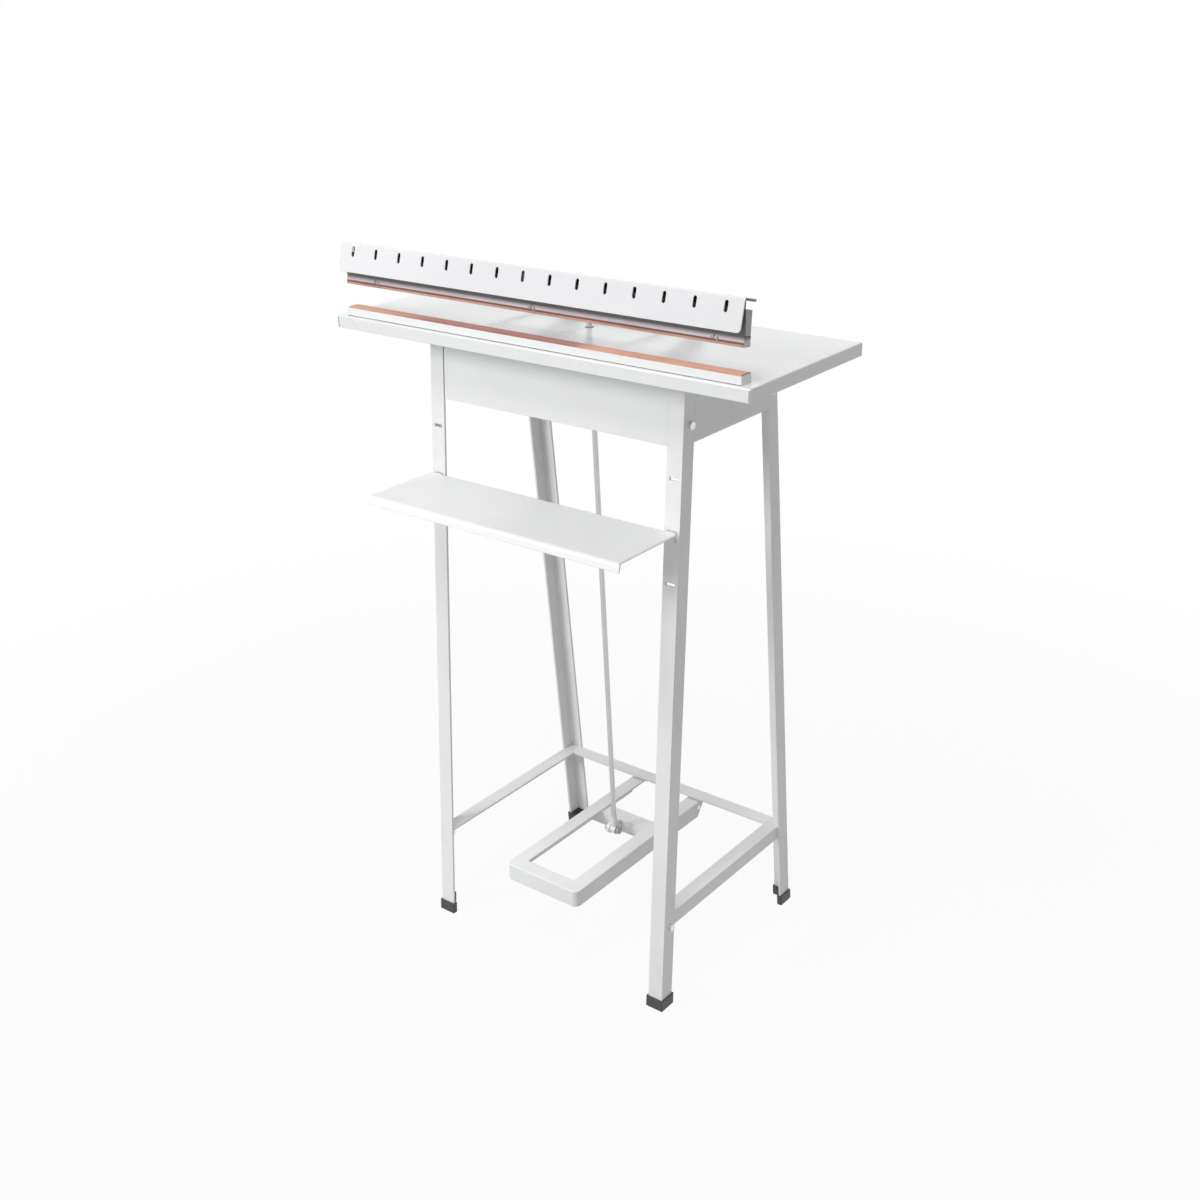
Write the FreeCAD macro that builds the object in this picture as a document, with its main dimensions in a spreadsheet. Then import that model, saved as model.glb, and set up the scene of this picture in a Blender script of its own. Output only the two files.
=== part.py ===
import FreeCAD, Part

import math
import os
import re
import Sketcher

# Foot pedal sealer: a table on four splayed angle-iron legs, a heated jaw that swings down on a fixed
# lower jaw, and a foot pedal that pulls the heated jaw down through a long rod.
# Millimetres. Heights are above the floor. Depths count from the table's front edge, to the rear.
# Every piece is shifted by the same amount at the end, so that the origin is centred under the machine.

doc = FreeCAD.newDocument("foot_pedal_sealer")

# Driving sizes

sizes = {
    "table_height": 865.2, "table_length": 629, "table_front": -4, "table_back": 238, "table_flange": 16,
    "table_sheet": 1.2, "table_bend": 1.8, "rod_hole_radius": 5.6, "screw_radius": 2, "over_cut": 1,
    "weld_gap": 0.2,
    "leg_width": 22, "leg_thick": 3, "leg_half_span": 198, "front_leg_top": 45.2, "front_leg_foot": -6.4,
    "rear_leg_top": 235.2, "rear_leg_foot": 314.5, "leg_bolt_inset": 13, "leg_bolt_drop": 74.2,
    "slit_width": 13, "slit_height": 4.4, "slit_pitch": 65, "slit_drop": 202.1, "slit_inset": 11,
    "cap_floor": 3, "cap_height": 15, "cap_wall": 2.2,
    "side_stretcher_top": 138, "stretcher_width": 20, "stretcher_thick": 3, "right_stretcher_drop": 20,
    "left_stretcher_drop": 14, "rear_stretcher_drop": 14, "lower_bolt_drop": 16,
    "apron_sheet": 1.2, "front_apron_drop": 99.2, "side_apron_drop": 96.7, "apron_hem": 9, "apron_gap": 1.5,
    "apron_tab": 18, "bolt_radius": 3, "bolt_play": 0.15, "bolt_tail": 1.5,
    "bolt_head_radius": 5.4, "bolt_head_height": 4, "nut_height": 5,
    "shelf_overhang": 13, "shelf_front": -88, "shelf_back": 27, "shelf_drop": 199.4, "shelf_sheet": 1.5,
    "shelf_lip": 10, "shelf_lip_slope": 3.2, "shelf_back_lip": 5, "shelf_bend": 5,
    "hook_width": 12, "hook_thick": 2.4, "hook_reach": 60, "hook_heel": 10, "hook_tail": 8,
    "hook_play": 0.4, "hook_slack": 1.2, "rivet_radius": 2.5, "rivet_head": 1.2, "rivet_inset": 8,
    "rivet_pitch": 18,
    "jaw_half": 300, "lower_jaw_front": 1.5, "lower_jaw_depth": 19, "lower_jaw_body": 10.2,
    "pad_width": 12, "pad_depth": 4, "pad_proud": 0.8, "pad_inset": 6, "tape_thick": 0.5, "tape_inset": 1,
    "jaw_gap": 0.3, "jaw_pivot_depth": 212, "jaw_pivot_rise": 24, "open_angle": 8,
    "bar_front": 3.7, "bar_depth": 12.5, "bar_face": 11.6, "bar_tongue": 6, "bar_tongue_rise": 9,
    "bar_screw_depth": 2, "heater_radius": 3.5, "heater_inset": 20, "heater_rise": 5.8,
    "upper_tape_fold": 4.5, "upper_tape_thick": 0.4, "channel_set_in": 2.5,
    "channel_rise": 28.4, "channel_sheet": 1.1, "channel_lean": 4, "channel_drop": 1.3, "channel_taper": 1,
    "cover_overhang": 2, "cover_sheet": 1.2, "cover_height": 37.4, "cover_lean": 6.8, "cover_out": 9.2,
    "cover_up": 27.6, "cover_flange": 22.5, "cover_lip": 3, "cover_bend": 2.2, "cover_corner": 5,
    "slot_end_margin": 22, "slot_count": 15, "slot_width": 4.6, "slot_length": 13, "slot_below_top": 11.5,
    "bracket_inset": 82, "bracket_width": 16, "bracket_foot": 9, "bracket_seat_gap": 0.1,
    "arm_half_span": 98, "arm_thick": 6, "arm_eye_radius": 12, "arm_foot": 24, "arm_foot_thick": 3,
    "arm_clearance": 1.3, "arm_gap": 0.05, "arm_taper": 0.8, "arm_screw_inset": 5, "screw_tail": 1.6,
    "pivot_pin_radius": 4, "pivot_play": 0.05, "side_play": 0.5,
    "bracket_plate": 3, "bracket_length": 34, "pin_head_radius": 6, "pin_head_height": 2.5,
    "crossbar_level": 12, "crossbar_thick": 4, "crossbar_width": 20, "rod_pin_back": 93, "rod_pin_level": -1,
    "rod_pin_radius": 3, "rod_pin_slack": 0.3, "rod_radius": 3.5, "eye_radius": 6.5, "eye_half": 4.5,
    "clevis_plate": 3, "clevis_gap": 0.6, "clevis_width": 16, "pin_tail": 2,
    "foot_pin_depth": 154, "foot_pin_height": 126.5, "foot_pin_radius": 3, "eye_neck": 11, "neck_radius": 4.4,
    "collar_radius": 10, "collar_height": 8, "collar_stop": 0.6, "guide_drop": 78.2, "guide_plate": 3,
    "guide_half": 20, "guide_width": 30, "guide_hole_radius": 5.6, "guide_foot": 14,
    "spring_radius": 7.5, "spring_wire": 0.9,
    "spring_turns": 7, "spring_end_gap": 0.2,
    "pedal_half": 62, "pedal_flange": 21.5, "pedal_thick": 3, "pedal_skirt": 24, "pedal_front": -12,
    "pedal_rear": 290, "pedal_top": 133.2, "pedal_corner": 9, "pedal_end_cut": 15,
    "pedal_bar_depth": 175, "pedal_bar_thick": 4, "pedal_bar_height": 20, "pedal_hinge_depth": 278,
    "pedal_hinge_height": 123, "hinge_pin_radius": 3.5, "lug_thick": 5.5, "lug_gap": 0.3, "lug_radius": 7.5,
    "hinge_plate_radius": 6.6, "hinge_foot": 12,
    "knob_depth": 112, "knob_drop": 52, "knob_radius": 17, "knob_height": 15, "knob_spindle": 3,
    "knob_gap": 0.6, "knob_rim": 3, "pointer_width": 3, "pointer_rise": 1.4, "spindle_gap": 0.4,
    "regulator_length": 42, "regulator_height": 36, "regulator_deep": 24,
    "switch_depth": 176, "switch_drop": 52, "switch_length": 30, "switch_width": 22, "switch_bezel": 2,
    "switch_deep": 20, "switch_open_length": 21, "switch_open_width": 13, "rocker_play": 0.4,
    "rocker_pin_radius": 1.2, "rocker_tilt": 8, "rocker_axis": 2, "rocker_pin_tail": 1.6,
    "rocker_half": 9, "rocker_crown": 4.5, "rocker_dip": 2.5, "rocker_deep": 3, "rocker_deep_half": 4,
    "gland_half_span": 110, "gland_drop": 55, "gland_radius": 9, "gland_bore": 3.6, "gland_out": 19,
    "gland_offset": 0.3,
    "gland_thread": 2.7, "gland_inside": 8, "gland_hex": 6, "gland_neck": 1.2, "gland_cone": 5,
}

sheet = doc.addObject("Spreadsheet::Sheet", "sizes")
for row, (alias, number) in enumerate(sizes.items(), start=1):
    sheet.set(f"A{row}", alias)
    sheet.set(f"B{row}", str(number))
    sheet.setAlias(f"B{row}", alias)
doc.recompute()

# Sizes that follow from the driving ones, each written in their words

derived = {
    "table_under": "table_height - table_sheet",
    "leg_rise": "table_under - cap_floor",
    "front_slope": "(front_leg_foot - front_leg_top) / leg_rise",
    "rear_slope": "(rear_leg_foot - rear_leg_top) / leg_rise",
    "rear_reach": "rear_leg_foot + rear_slope * cap_floor + cap_wall",
    "middle": "(shelf_front + rear_reach) / 2",
    "leg_inner": "leg_half_span - leg_thick",
    "slit_half_span": "leg_half_span - slit_inset",
    "shelf_half_length": "slit_half_span + shelf_overhang",
    "lower_bolt_height": "side_stretcher_top - lower_bolt_drop",
    "upper_bolt_height": "table_height - leg_bolt_drop",
    "shelf_top": "table_height - shelf_drop",
    "slit_middle": "table_height - slit_drop",
    "jaw_face": "lower_jaw_body + pad_proud + tape_thick",
    "tape_under": "jaw_face + jaw_gap",
    "bar_under": "tape_under + upper_tape_thick - jaw_pivot_rise",
    "bar_top": "bar_under + bar_face",
    "bar_y": "bar_front - jaw_pivot_depth",
    "channel_back": "bar_y + bar_depth - channel_set_in",
    "channel_top": "bar_top + channel_rise",
    "channel_back_top": "channel_back - channel_taper",
    "cover_half": "jaw_half + cover_overhang",
    "slot_span": "cover_half - slot_end_margin",
    "heater_half": "jaw_half - heater_inset",
    "pad_half": "jaw_half - pad_inset",
    "arm_front_top": "channel_top - channel_drop - arm_clearance",
    "cover_y": "-cover_out - jaw_pivot_depth",
    "cover_z": "cover_up - jaw_pivot_rise",
    "pivot_height": "table_height + jaw_pivot_rise",
    "rod_top_y": "jaw_pivot_depth - rod_pin_back * cos(open_angle) + rod_pin_level * sin(open_angle)",
    "rod_top_z": "pivot_height + rod_pin_back * sin(open_angle) + rod_pin_level * cos(open_angle)",
    "rod_run": "foot_pin_depth - rod_top_y",
    "rod_drop": "rod_top_z - foot_pin_height",
    "rod_length": "sqrt(rod_run * rod_run + rod_drop * rod_drop)",
    "collar_top_on_rod": "(table_under - collar_stop - foot_pin_height) / rod_drop * rod_length",
    "guide_bottom": "table_height - guide_drop",
    "strap_top": "guide_bottom + guide_plate",
    "spring_top": "table_under - collar_stop - collar_height - spring_end_gap",
    "spring_mid": "(strap_top + spring_top) / 2",
    "arm_front_low": "bar_top + arm_clearance",
    "arm_inner": "arm_half_span - arm_thick / 2",
    "arm_outer": "arm_half_span + arm_thick / 2",
    "ear_inner": "arm_inner - side_play - bracket_plate",
    "ear_outer": "arm_outer + side_play + bracket_plate",
    "pedal_inner": "pedal_half - pedal_flange",
    "hinge_plate_out": "pedal_half - pedal_thick - side_play",
    "hinge_plate_in": "hinge_plate_out - bracket_plate",
    "pedal_bottom": "pedal_top - pedal_skirt",
    "knob_height_up": "table_height - knob_drop",
    "switch_height_up": "table_height - switch_drop",
    "gland_height_up": "table_height - gland_drop",
}
words = re.compile(r"[a-z]+(?:_[a-z]+)+|middle")


def expand(text):
    """Writes an expression out in sheet cells."""
    def swap(match):
        word = match.group(0)
        if word in derived:
            return "(" + expand(derived[word]) + ")"
        if word in sizes:
            return "sizes." + word
        return word
    return words.sub(swap, str(text))


def number(text):
    """Gives the present value of an expression."""
    found = sheet.evalExpression(expand(text))
    return float(getattr(found, "Value", found))


def bind(target, path, text):
    target.setExpression(path, expand(text))


# Drawing and shaping

normals = {"XY_Plane": 1, "XZ_Plane": -1, "YZ_Plane": 1}


def new_body(label):
    body = doc.addObject("PartDesign::Body", label)
    body.Label = label
    return body


def new_sketch(body, name, plane, level):
    """Puts an empty sketch on a plane of the body's origin, at a level along the world axis."""
    sketch = body.newObject("Sketcher::SketchObject", body.Label + "_" + name)
    planes = [feature for feature in body.Origin.OriginFeatures if feature.Role == plane]
    sketch.AttachmentSupport = (planes[0], [""])
    sketch.MapMode = "FlatFace"
    bind(sketch, "AttachmentOffset.Base.z", f"{normals[plane]} * ({level})")
    return sketch


def draw_polygon(sketch, points):
    """Adds a closed outline whose corners are bound to pairs of expressions."""
    first = sketch.GeometryCount
    corners = [FreeCAD.Vector(number(x), number(y), 0) for x, y in points]
    count = len(points)
    for index in range(count):
        line = Part.LineSegment(corners[index], corners[(index + 1) % count])
        sketch.addGeometry(line, False)
    joins = []
    for index in range(count):
        joins.append(Sketcher.Constraint("Coincident", first + index, 2, first + (index + 1) % count, 1))
    sketch.addConstraint(joins)
    for index, (x, y) in enumerate(points):
        across = sketch.addConstraint(Sketcher.Constraint("DistanceX", first + index, 1, corners[index].x))
        bind(sketch, f"Constraints[{across}]", x)
        up = sketch.addConstraint(Sketcher.Constraint("DistanceY", first + index, 1, corners[index].y))
        bind(sketch, f"Constraints[{up}]", y)


def draw_box(sketch, left, right, low, high):
    draw_polygon(sketch, [(left, low), (right, low), (right, high), (left, high)])


def draw_circle(sketch, x, y, radius):
    centre = FreeCAD.Vector(number(x), number(y), 0)
    index = sketch.addGeometry(Part.Circle(centre, FreeCAD.Vector(0, 0, 1), number(radius)), False)
    size = sketch.addConstraint(Sketcher.Constraint("Radius", index, number(radius)))
    bind(sketch, f"Constraints[{size}]", radius)
    across = sketch.addConstraint(Sketcher.Constraint("DistanceX", index, 3, centre.x))
    bind(sketch, f"Constraints[{across}]", x)
    up = sketch.addConstraint(Sketcher.Constraint("DistanceY", index, 3, centre.y))
    bind(sketch, f"Constraints[{up}]", y)


def draw_slot(sketch, x, y, radius, half_straight):
    """Adds an upright slot with round ends."""
    middle_x = number(x)
    middle_y = number(y)
    round_by = number(radius)
    half = number(half_straight)
    top = Part.Circle(FreeCAD.Vector(middle_x, middle_y + half, 0), FreeCAD.Vector(0, 0, 1), round_by)
    low = Part.Circle(FreeCAD.Vector(middle_x, middle_y - half, 0), FreeCAD.Vector(0, 0, 1), round_by)
    right = FreeCAD.Vector(middle_x + round_by, middle_y, 0)
    left = FreeCAD.Vector(middle_x - round_by, middle_y, 0)
    rise = FreeCAD.Vector(0, half, 0)
    first = sketch.addGeometry(Part.ArcOfCircle(top, 0, math.pi), False)
    sketch.addGeometry(Part.LineSegment(left + rise, left - rise), False)
    sketch.addGeometry(Part.ArcOfCircle(low, math.pi, 2 * math.pi), False)
    sketch.addGeometry(Part.LineSegment(right - rise, right + rise), False)
    sketch.addConstraint([
        Sketcher.Constraint("Tangent", first, 2, first + 1, 1),
        Sketcher.Constraint("Tangent", first + 1, 2, first + 2, 1),
        Sketcher.Constraint("Tangent", first + 2, 2, first + 3, 1),
        Sketcher.Constraint("Tangent", first + 3, 2, first, 1),
        Sketcher.Constraint("Vertical", first + 1),
    ])
    places = [("Radius", first, radius), ("DistanceX", (first, 3), x),
              ("DistanceY", (first, 3), f"{y} + {half_straight}"),
              ("DistanceY", (first + 2, 3), f"{y} - ({half_straight})")]
    for kind, where, text in places:
        spot = where if isinstance(where, tuple) else (where,)
        index = sketch.addConstraint(Sketcher.Constraint(kind, *spot, number(text)))
        bind(sketch, f"Constraints[{index}]", text)


def add_pad(body, sketch, length):
    """Raises a sketch along the world axis that it faces."""
    pad = body.newObject("PartDesign::Pad", sketch.Label + "_pad")
    pad.Profile = sketch
    pad.Reversed = normals[sketch.AttachmentSupport[0][0].Role] < 0
    bind(pad, "Length", length)
    return pad


def cut_pocket(body, sketch, length):
    """Cuts a sketch into the body along the world axis that it faces."""
    doc.recompute()
    before = body.Shape.Volume
    pocket = body.newObject("PartDesign::Pocket", sketch.Label + "_pocket")
    pocket.Profile = sketch
    pocket.Reversed = normals[sketch.AttachmentSupport[0][0].Role] > 0
    bind(pocket, "Length", length)
    doc.recompute()
    if not body.Shape.Volume < before - 1e-6:
        raise ValueError(f"{pocket.Label} cuts nothing")
    return pocket


def pad_box(body, name, x, y, z):
    """Adds a block between three pairs of expressions."""
    sketch = new_sketch(body, name, "XY_Plane", z[0])
    draw_box(sketch, x[0], x[1], y[0], y[1])
    return add_pad(body, sketch, f"{z[1]} - ({z[0]})")


def cut_box(body, name, x, y, z):
    sketch = new_sketch(body, name, "XY_Plane", z[0])
    draw_box(sketch, x[0], x[1], y[0], y[1])
    return cut_pocket(body, sketch, f"{z[1]} - ({z[0]})")


def pad_outline(body, name, plane, points, low, high):
    sketch = new_sketch(body, name, plane, low)
    draw_polygon(sketch, points)
    return add_pad(body, sketch, f"{high} - ({low})")


def cut_circles(body, name, plane, circles, low, high):
    sketch = new_sketch(body, name, plane, low)
    for x, y, radius in circles:
        draw_circle(sketch, x, y, radius)
    return cut_pocket(body, sketch, f"{high} - ({low})")


def pad_circle(body, name, plane, x, y, radius, low, high):
    sketch = new_sketch(body, name, plane, low)
    draw_circle(sketch, x, y, radius)
    return add_pad(body, sketch, f"{high} - ({low})")


def round_edges(body, name, radius, chosen):
    """Rounds the edges whose two ends pass the test."""
    doc.recompute()
    base = body.Tip
    names = []
    for index, edge in enumerate(base.Shape.Edges, start=1):
        ends = [edge.firstVertex().Point, edge.lastVertex().Point]
        if chosen(ends[0], ends[1]):
            names.append(f"Edge{index}")
    fillet = body.newObject("PartDesign::Fillet", body.Label + "_" + name)
    fillet.Base = (base, names)
    bind(fillet, "Radius", radius)
    doc.recompute()
    return fillet


def near(first, second, slack=0.01):
    return abs(first - second) < slack


nodes = []


def keep(item, label, x="0", y="0", z="0", axis=None, angle="0"):
    """Lists a piece as finished and puts it in its place, shifted so that the origin is centred."""
    item.Label = label
    if axis:
        item.Placement = FreeCAD.Placement(FreeCAD.Vector(), FreeCAD.Rotation(FreeCAD.Vector(*axis), 1))
        bind(item, "Placement.Rotation.Angle", angle)
    bind(item, "Placement.Base.x", x)
    bind(item, "Placement.Base.y", f"{y} - middle")
    bind(item, "Placement.Base.z", z)
    nodes.append(item)
    return item


def keep_on_jaw(item, label):
    """Places a piece that is drawn about the jaw's pivot with the jaw closed, at the open angle."""
    return keep(item, label, "0", "jaw_pivot_depth", "pivot_height", (-1, 0, 0), "open_angle")


def keep_on_rod(item, label):
    """Places a piece that is drawn about the rod's foot pin with the rod upright."""
    return keep(item, label, "0", "foot_pin_depth", "foot_pin_height", (1, 0, 0), "atan2(rod_run; rod_drop)")


def turned(name, radius, height, x, y, z, axis, angle, sides=0):
    """Makes a cylinder or a hexagon that stands on a point and points along a turned axis."""
    kind = "Part::Prism" if sides else "Part::Cylinder"
    piece = doc.addObject(kind, name)
    if sides:
        piece.Polygon = sides
        bind(piece, "Circumradius", radius)
    else:
        bind(piece, "Radius", radius)
    bind(piece, "Height", height)
    piece.Placement = FreeCAD.Placement(FreeCAD.Vector(), FreeCAD.Rotation(FreeCAD.Vector(*axis), angle))
    bind(piece, "Placement.Base.x", x)
    bind(piece, "Placement.Base.y", y)
    bind(piece, "Placement.Base.z", z)
    return piece


def fuse(name, base, tool):
    joined = doc.addObject("Part::Fuse", name)
    joined.Base = base
    joined.Tool = tool
    return joined


def group(label, pieces):
    """Gathers identical fasteners as separate solids of one piece."""
    gathered = doc.addObject("Part::Compound", label)
    gathered.Links = pieces
    return gathered


right_way = ((0, 1, 0), 90)
left_way = ((0, 1, 0), -90)
up_way = ((0, 0, 1), 0)
down_way = ((1, 0, 0), 180)
back_way = ((1, 0, 0), -90)
front_way = ((1, 0, 0), 90)


def bolt(name, place, way, head_radius, head_height, shank_radius, shank_length, sides=6):
    """Makes a headed bolt: the head stands out of a point and the shank goes the way given."""
    backwards = {right_way: left_way, left_way: right_way, up_way: down_way, down_way: up_way,
                 back_way: front_way, front_way: back_way}[way]
    head = turned(name + "_head", head_radius, head_height, *place, *backwards, sides)
    shank = turned(name + "_shank", shank_radius, shank_length, *place, *way)
    return fuse(name, head, shank)


def headed_pin(name, place, way, head_radius, head_height, shank_radius, shank_length):
    return bolt(name, place, way, head_radius, head_height, shank_radius, shank_length, 0)


# Table top: a tray of sheet folded down on four sides

table = new_body("table_top")
pad_box(table, "slab", ("-table_length / 2", "table_length / 2"), ("table_front", "table_back"),
        ("table_height - table_flange", "table_height"))
round_edges(table, "rim", "table_bend",
            lambda a, b: near(a.z, b.z) and near(a.z, number("table_height")))
cut_box(table, "hollow", ("table_sheet - table_length / 2", "table_length / 2 - table_sheet"),
        ("table_front + table_sheet", "table_back - table_sheet"),
        ("table_height - table_flange", "table_under"))
cut_circles(table, "rod_hole", "XY_Plane",
            [("0", "rod_top_y + (rod_top_z - table_height) * rod_run / rod_drop", "rod_hole_radius")],
            "table_under - table_bend", "table_height + table_bend")
jaw_screw_x = ["-jaw_half * 0.8", "0", "jaw_half * 0.8"]
jaw_screw_y = "lower_jaw_front + lower_jaw_depth / 2"
cut_circles(table, "jaw_screw_holes", "XY_Plane", [(x, jaw_screw_y, "screw_radius") for x in jaw_screw_x],
            "table_under - table_bend", "table_height + table_bend")
keep(table, "table_top")

# Legs: splayed angle iron, cut level at both ends, the front ones slit for the shelf's hooks


def leg_corner(row, height):
    """Gives the depth of a leg's outer corner at a height."""
    return f"({row}_leg_foot - {row}_slope * ({height} - cap_floor))"


def leg_outline(side, row, grow, low):
    """Gives the corners of a leg's angle section, grown outwards by a wall."""
    way = 1 if row == "front" else -1
    corner = leg_corner(row, low)
    x_out = f"{side} * (leg_half_span + {grow})"
    x_end = f"{side} * (leg_half_span - leg_width - {grow})"
    x_in = f"{side} * (leg_inner - {grow})"
    y_out = f"{corner} - {way} * ({grow})"
    y_in = f"{corner} + {way} * (leg_thick + {grow})"
    y_end = f"{corner} + {way} * (leg_width + {grow})"
    return [(x_out, y_out), (x_end, y_out), (x_end, y_in), (x_in, y_in), (x_in, y_end), (x_out, y_end)]


def lean_pad(body, name, points, low, height, row):
    """Raises an outline along the leg's slope, with level ends."""
    sketch = new_sketch(body, name, "XY_Plane", low)
    draw_polygon(sketch, points)
    pad = add_pad(body, sketch, height)
    pad.UseCustomVector = True
    pad.AlongSketchNormal = True
    pad.Direction = FreeCAD.Vector(0, number(f"-{row}_slope"), 1)
    bind(pad, "Direction.y", f"-{row}_slope")
    return pad


def leg_bolt_places(side, row):
    """Gives the bolt places on a leg's side flange: the rear legs are welded to the stretchers."""
    way = 1 if row == "front" else -1
    places = []
    for height in ("upper_bolt_height", "lower_bolt_height")[:2 if row == "front" else 1]:
        depth = f"{leg_corner(row, height)} + {way} * leg_bolt_inset"
        places.append((f"{side} * leg_half_span", depth, height))
    return places


corners = [("front", "left", -1), ("front", "right", 1), ("rear", "left", -1), ("rear", "right", 1)]
leg_bolts = []
leg_nuts = []
for row, hand, side in corners:
    leg = new_body(f"{row}_{hand}_leg")
    lean_pad(leg, "iron", leg_outline(side, row, "0", "cap_floor"), "cap_floor", "leg_rise", row)
    places = leg_bolt_places(side, row)
    flange_low = "leg_inner - over_cut" if side > 0 else "-leg_half_span - over_cut"
    flange_high = "leg_half_span + over_cut" if side > 0 else "over_cut - leg_inner"
    cut_circles(leg, "bolt_holes", "YZ_Plane", [(y, z, "bolt_radius + bolt_play") for x, y, z in places],
                flange_low, flange_high)
    if row == "front":
        slits = new_sketch(leg, "slits", "XZ_Plane", leg_corner(row, "cap_floor") + " - leg_width")
        for step in (-1, 0, 1):
            draw_box(slits, f"{side} * slit_half_span - slit_width / 2",
                     f"{side} * slit_half_span + slit_width / 2",
                     f"slit_middle + {step} * slit_pitch - slit_height / 2",
                     f"slit_middle + {step} * slit_pitch + slit_height / 2")
        cut_pocket(leg, slits, "front_leg_top - front_leg_foot + 3 * leg_width")
    keep(leg, f"{row}_{hand}_leg")

    cap = new_body(f"{row}_{hand}_foot_cap")
    lean_pad(cap, "cup", leg_outline(side, row, "cap_wall", "0"), "0", "cap_height", row)
    round_edges(cap, "corners", "cap_wall / 2",
                lambda a, b: abs(a.z - b.z) > number("cap_height") / 2)
    socket = new_sketch(cap, "socket", "XY_Plane", "cap_floor")
    draw_polygon(socket, leg_outline(side, row, "0", "cap_floor"))
    hollow = cut_pocket(cap, socket, "cap_height")
    hollow.UseCustomVector = True
    hollow.AlongSketchNormal = True
    hollow.Direction = FreeCAD.Vector(0, number(f"-{row}_slope"), 1)
    bind(hollow, "Direction.y", f"-{row}_slope")
    hollow.Reversed = False
    keep(cap, f"{row}_{hand}_foot_cap")

    way = left_way if side > 0 else right_way
    for index, place in enumerate(places):
        name = f"{row}_{hand}_bolt_{index}"
        behind = "apron_sheet" if index == 0 else "stretcher_thick"
        length = f"leg_thick + {behind} + nut_height + bolt_tail"
        leg_bolts.append(bolt(name, place, way, "bolt_head_radius", "bolt_head_height", "bolt_radius", length))
        nut = turned(name + "_nut", "bolt_head_radius", "nut_height",
                     f"{side} * (leg_inner - {behind})", place[1], place[2], *way, 6)
        hole = turned(name + "_hole", "bolt_radius", "nut_height", f"{side} * (leg_inner - {behind})",
                      place[1], place[2], *way)
        ring = doc.addObject("Part::Cut", name + "_ring")
        ring.Base = nut
        ring.Tool = hole
        leg_nuts.append(ring)

# Stretchers: two along the sides and one across the rear, mitred and welded where their flanges meet

frame_back = leg_corner("rear", "side_stretcher_top") + " - leg_thick - weld_gap"
flange_low = "side_stretcher_top - stretcher_thick"
mitre_x = "leg_inner - stretcher_width"
for hand, side in (("left", -1), ("right", 1)):
    stretcher = new_body(f"{hand}_stretcher")
    outer = f"{side} * leg_inner"
    inner = f"{side} * ({mitre_x})"
    web = f"{side} * (leg_inner - stretcher_thick)"
    top = "side_stretcher_top"
    profile = [(outer, top), (inner, top), (inner, flange_low), (web, flange_low),
               (web, f"{top} - {hand}_stretcher_drop"), (outer, f"{top} - {hand}_stretcher_drop")]
    pad_outline(stretcher, "iron", "XZ_Plane", profile, leg_corner("front", top) + " + leg_thick + weld_gap",
                frame_back)
    mitre = new_sketch(stretcher, "mitre", "XY_Plane", flange_low)
    draw_polygon(mitre, [(f"{side} * ({mitre_x} - over_cut)", f"{frame_back} - stretcher_width - over_cut"),
                         (f"{side} * (leg_inner + over_cut)", f"{frame_back} + over_cut"),
                         (f"{side} * ({mitre_x} - over_cut)", f"{frame_back} + over_cut")])
    cut_pocket(stretcher, mitre, "stretcher_thick + over_cut")
    sides = ["leg_inner - stretcher_thick - over_cut", "leg_inner + over_cut"]
    if side < 0:
        sides = ["0 - leg_inner - over_cut", "stretcher_thick + over_cut - leg_inner"]
    bolt_place = leg_bolt_places(side, "front")[1]
    cut_circles(stretcher, "leg_bolt_hole", "YZ_Plane",
                [(bolt_place[1], bolt_place[2], "bolt_radius + bolt_play")], sides[0], sides[1])
    keep(stretcher, f"{hand}_stretcher")

rear_stretcher = new_body("rear_stretcher")
flange = new_sketch(rear_stretcher, "flange", "XY_Plane", flange_low)
draw_polygon(flange, [(f"0 - ({mitre_x})", f"{frame_back} - stretcher_width"),
                      (mitre_x, f"{frame_back} - stretcher_width"), ("leg_inner", frame_back),
                      ("-leg_inner", frame_back)])
add_pad(rear_stretcher, flange, "stretcher_thick")
pad_box(rear_stretcher, "web",
        ("stretcher_thick + weld_gap - leg_inner", "leg_inner - stretcher_thick - weld_gap"),
        (f"{frame_back} - stretcher_thick", frame_back),
        ("side_stretcher_top - rear_stretcher_drop", flange_low))
keep(rear_stretcher, "rear_stretcher")
keep(group("leg_bolts", leg_bolts), "leg_bolts")
keep(group("leg_nuts", leg_nuts), "leg_nuts")

# Aprons: front and rear panels lean with the legs, side panels lie flush with the legs' side flanges

for row, way in (("front", 1), ("rear", -1)):
    apron = new_body(f"{row}_apron")
    low = "table_height - front_apron_drop"
    top_line = leg_corner(row, "table_under")
    low_line = leg_corner(row, low)
    hem = f"{way} * apron_hem"
    skin = f"{way} * apron_sheet"
    profile = [(top_line, "table_under"), (low_line, low), (f"{low_line} + {hem}", low),
               (f"{low_line} + {hem}", f"{low} + apron_sheet"), (f"{low_line} + {skin}", f"{low} + apron_sheet"),
               (f"{top_line} + {skin}", "table_under - apron_sheet"),
               (f"{top_line} + {hem}", "table_under - apron_sheet"), (f"{top_line} + {hem}", "table_under")]
    left_end = "leg_width - leg_half_span + apron_gap"
    right_end = "leg_half_span - leg_width" if row == "front" else "leg_half_span - leg_width - apron_gap"
    pad_outline(apron, "panel", "YZ_Plane", profile, left_end, right_end)
    if row == "rear":
        cut_circles(apron, "gland_hole", "XZ_Plane",
                    [("-gland_half_span", "gland_height_up", "gland_radius - gland_thread + bolt_play")],
                    leg_corner(row, "table_under") + " - 2 * apron_hem", leg_corner(row, low) + " + apron_hem")
    keep(apron, f"{row}_apron")

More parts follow.
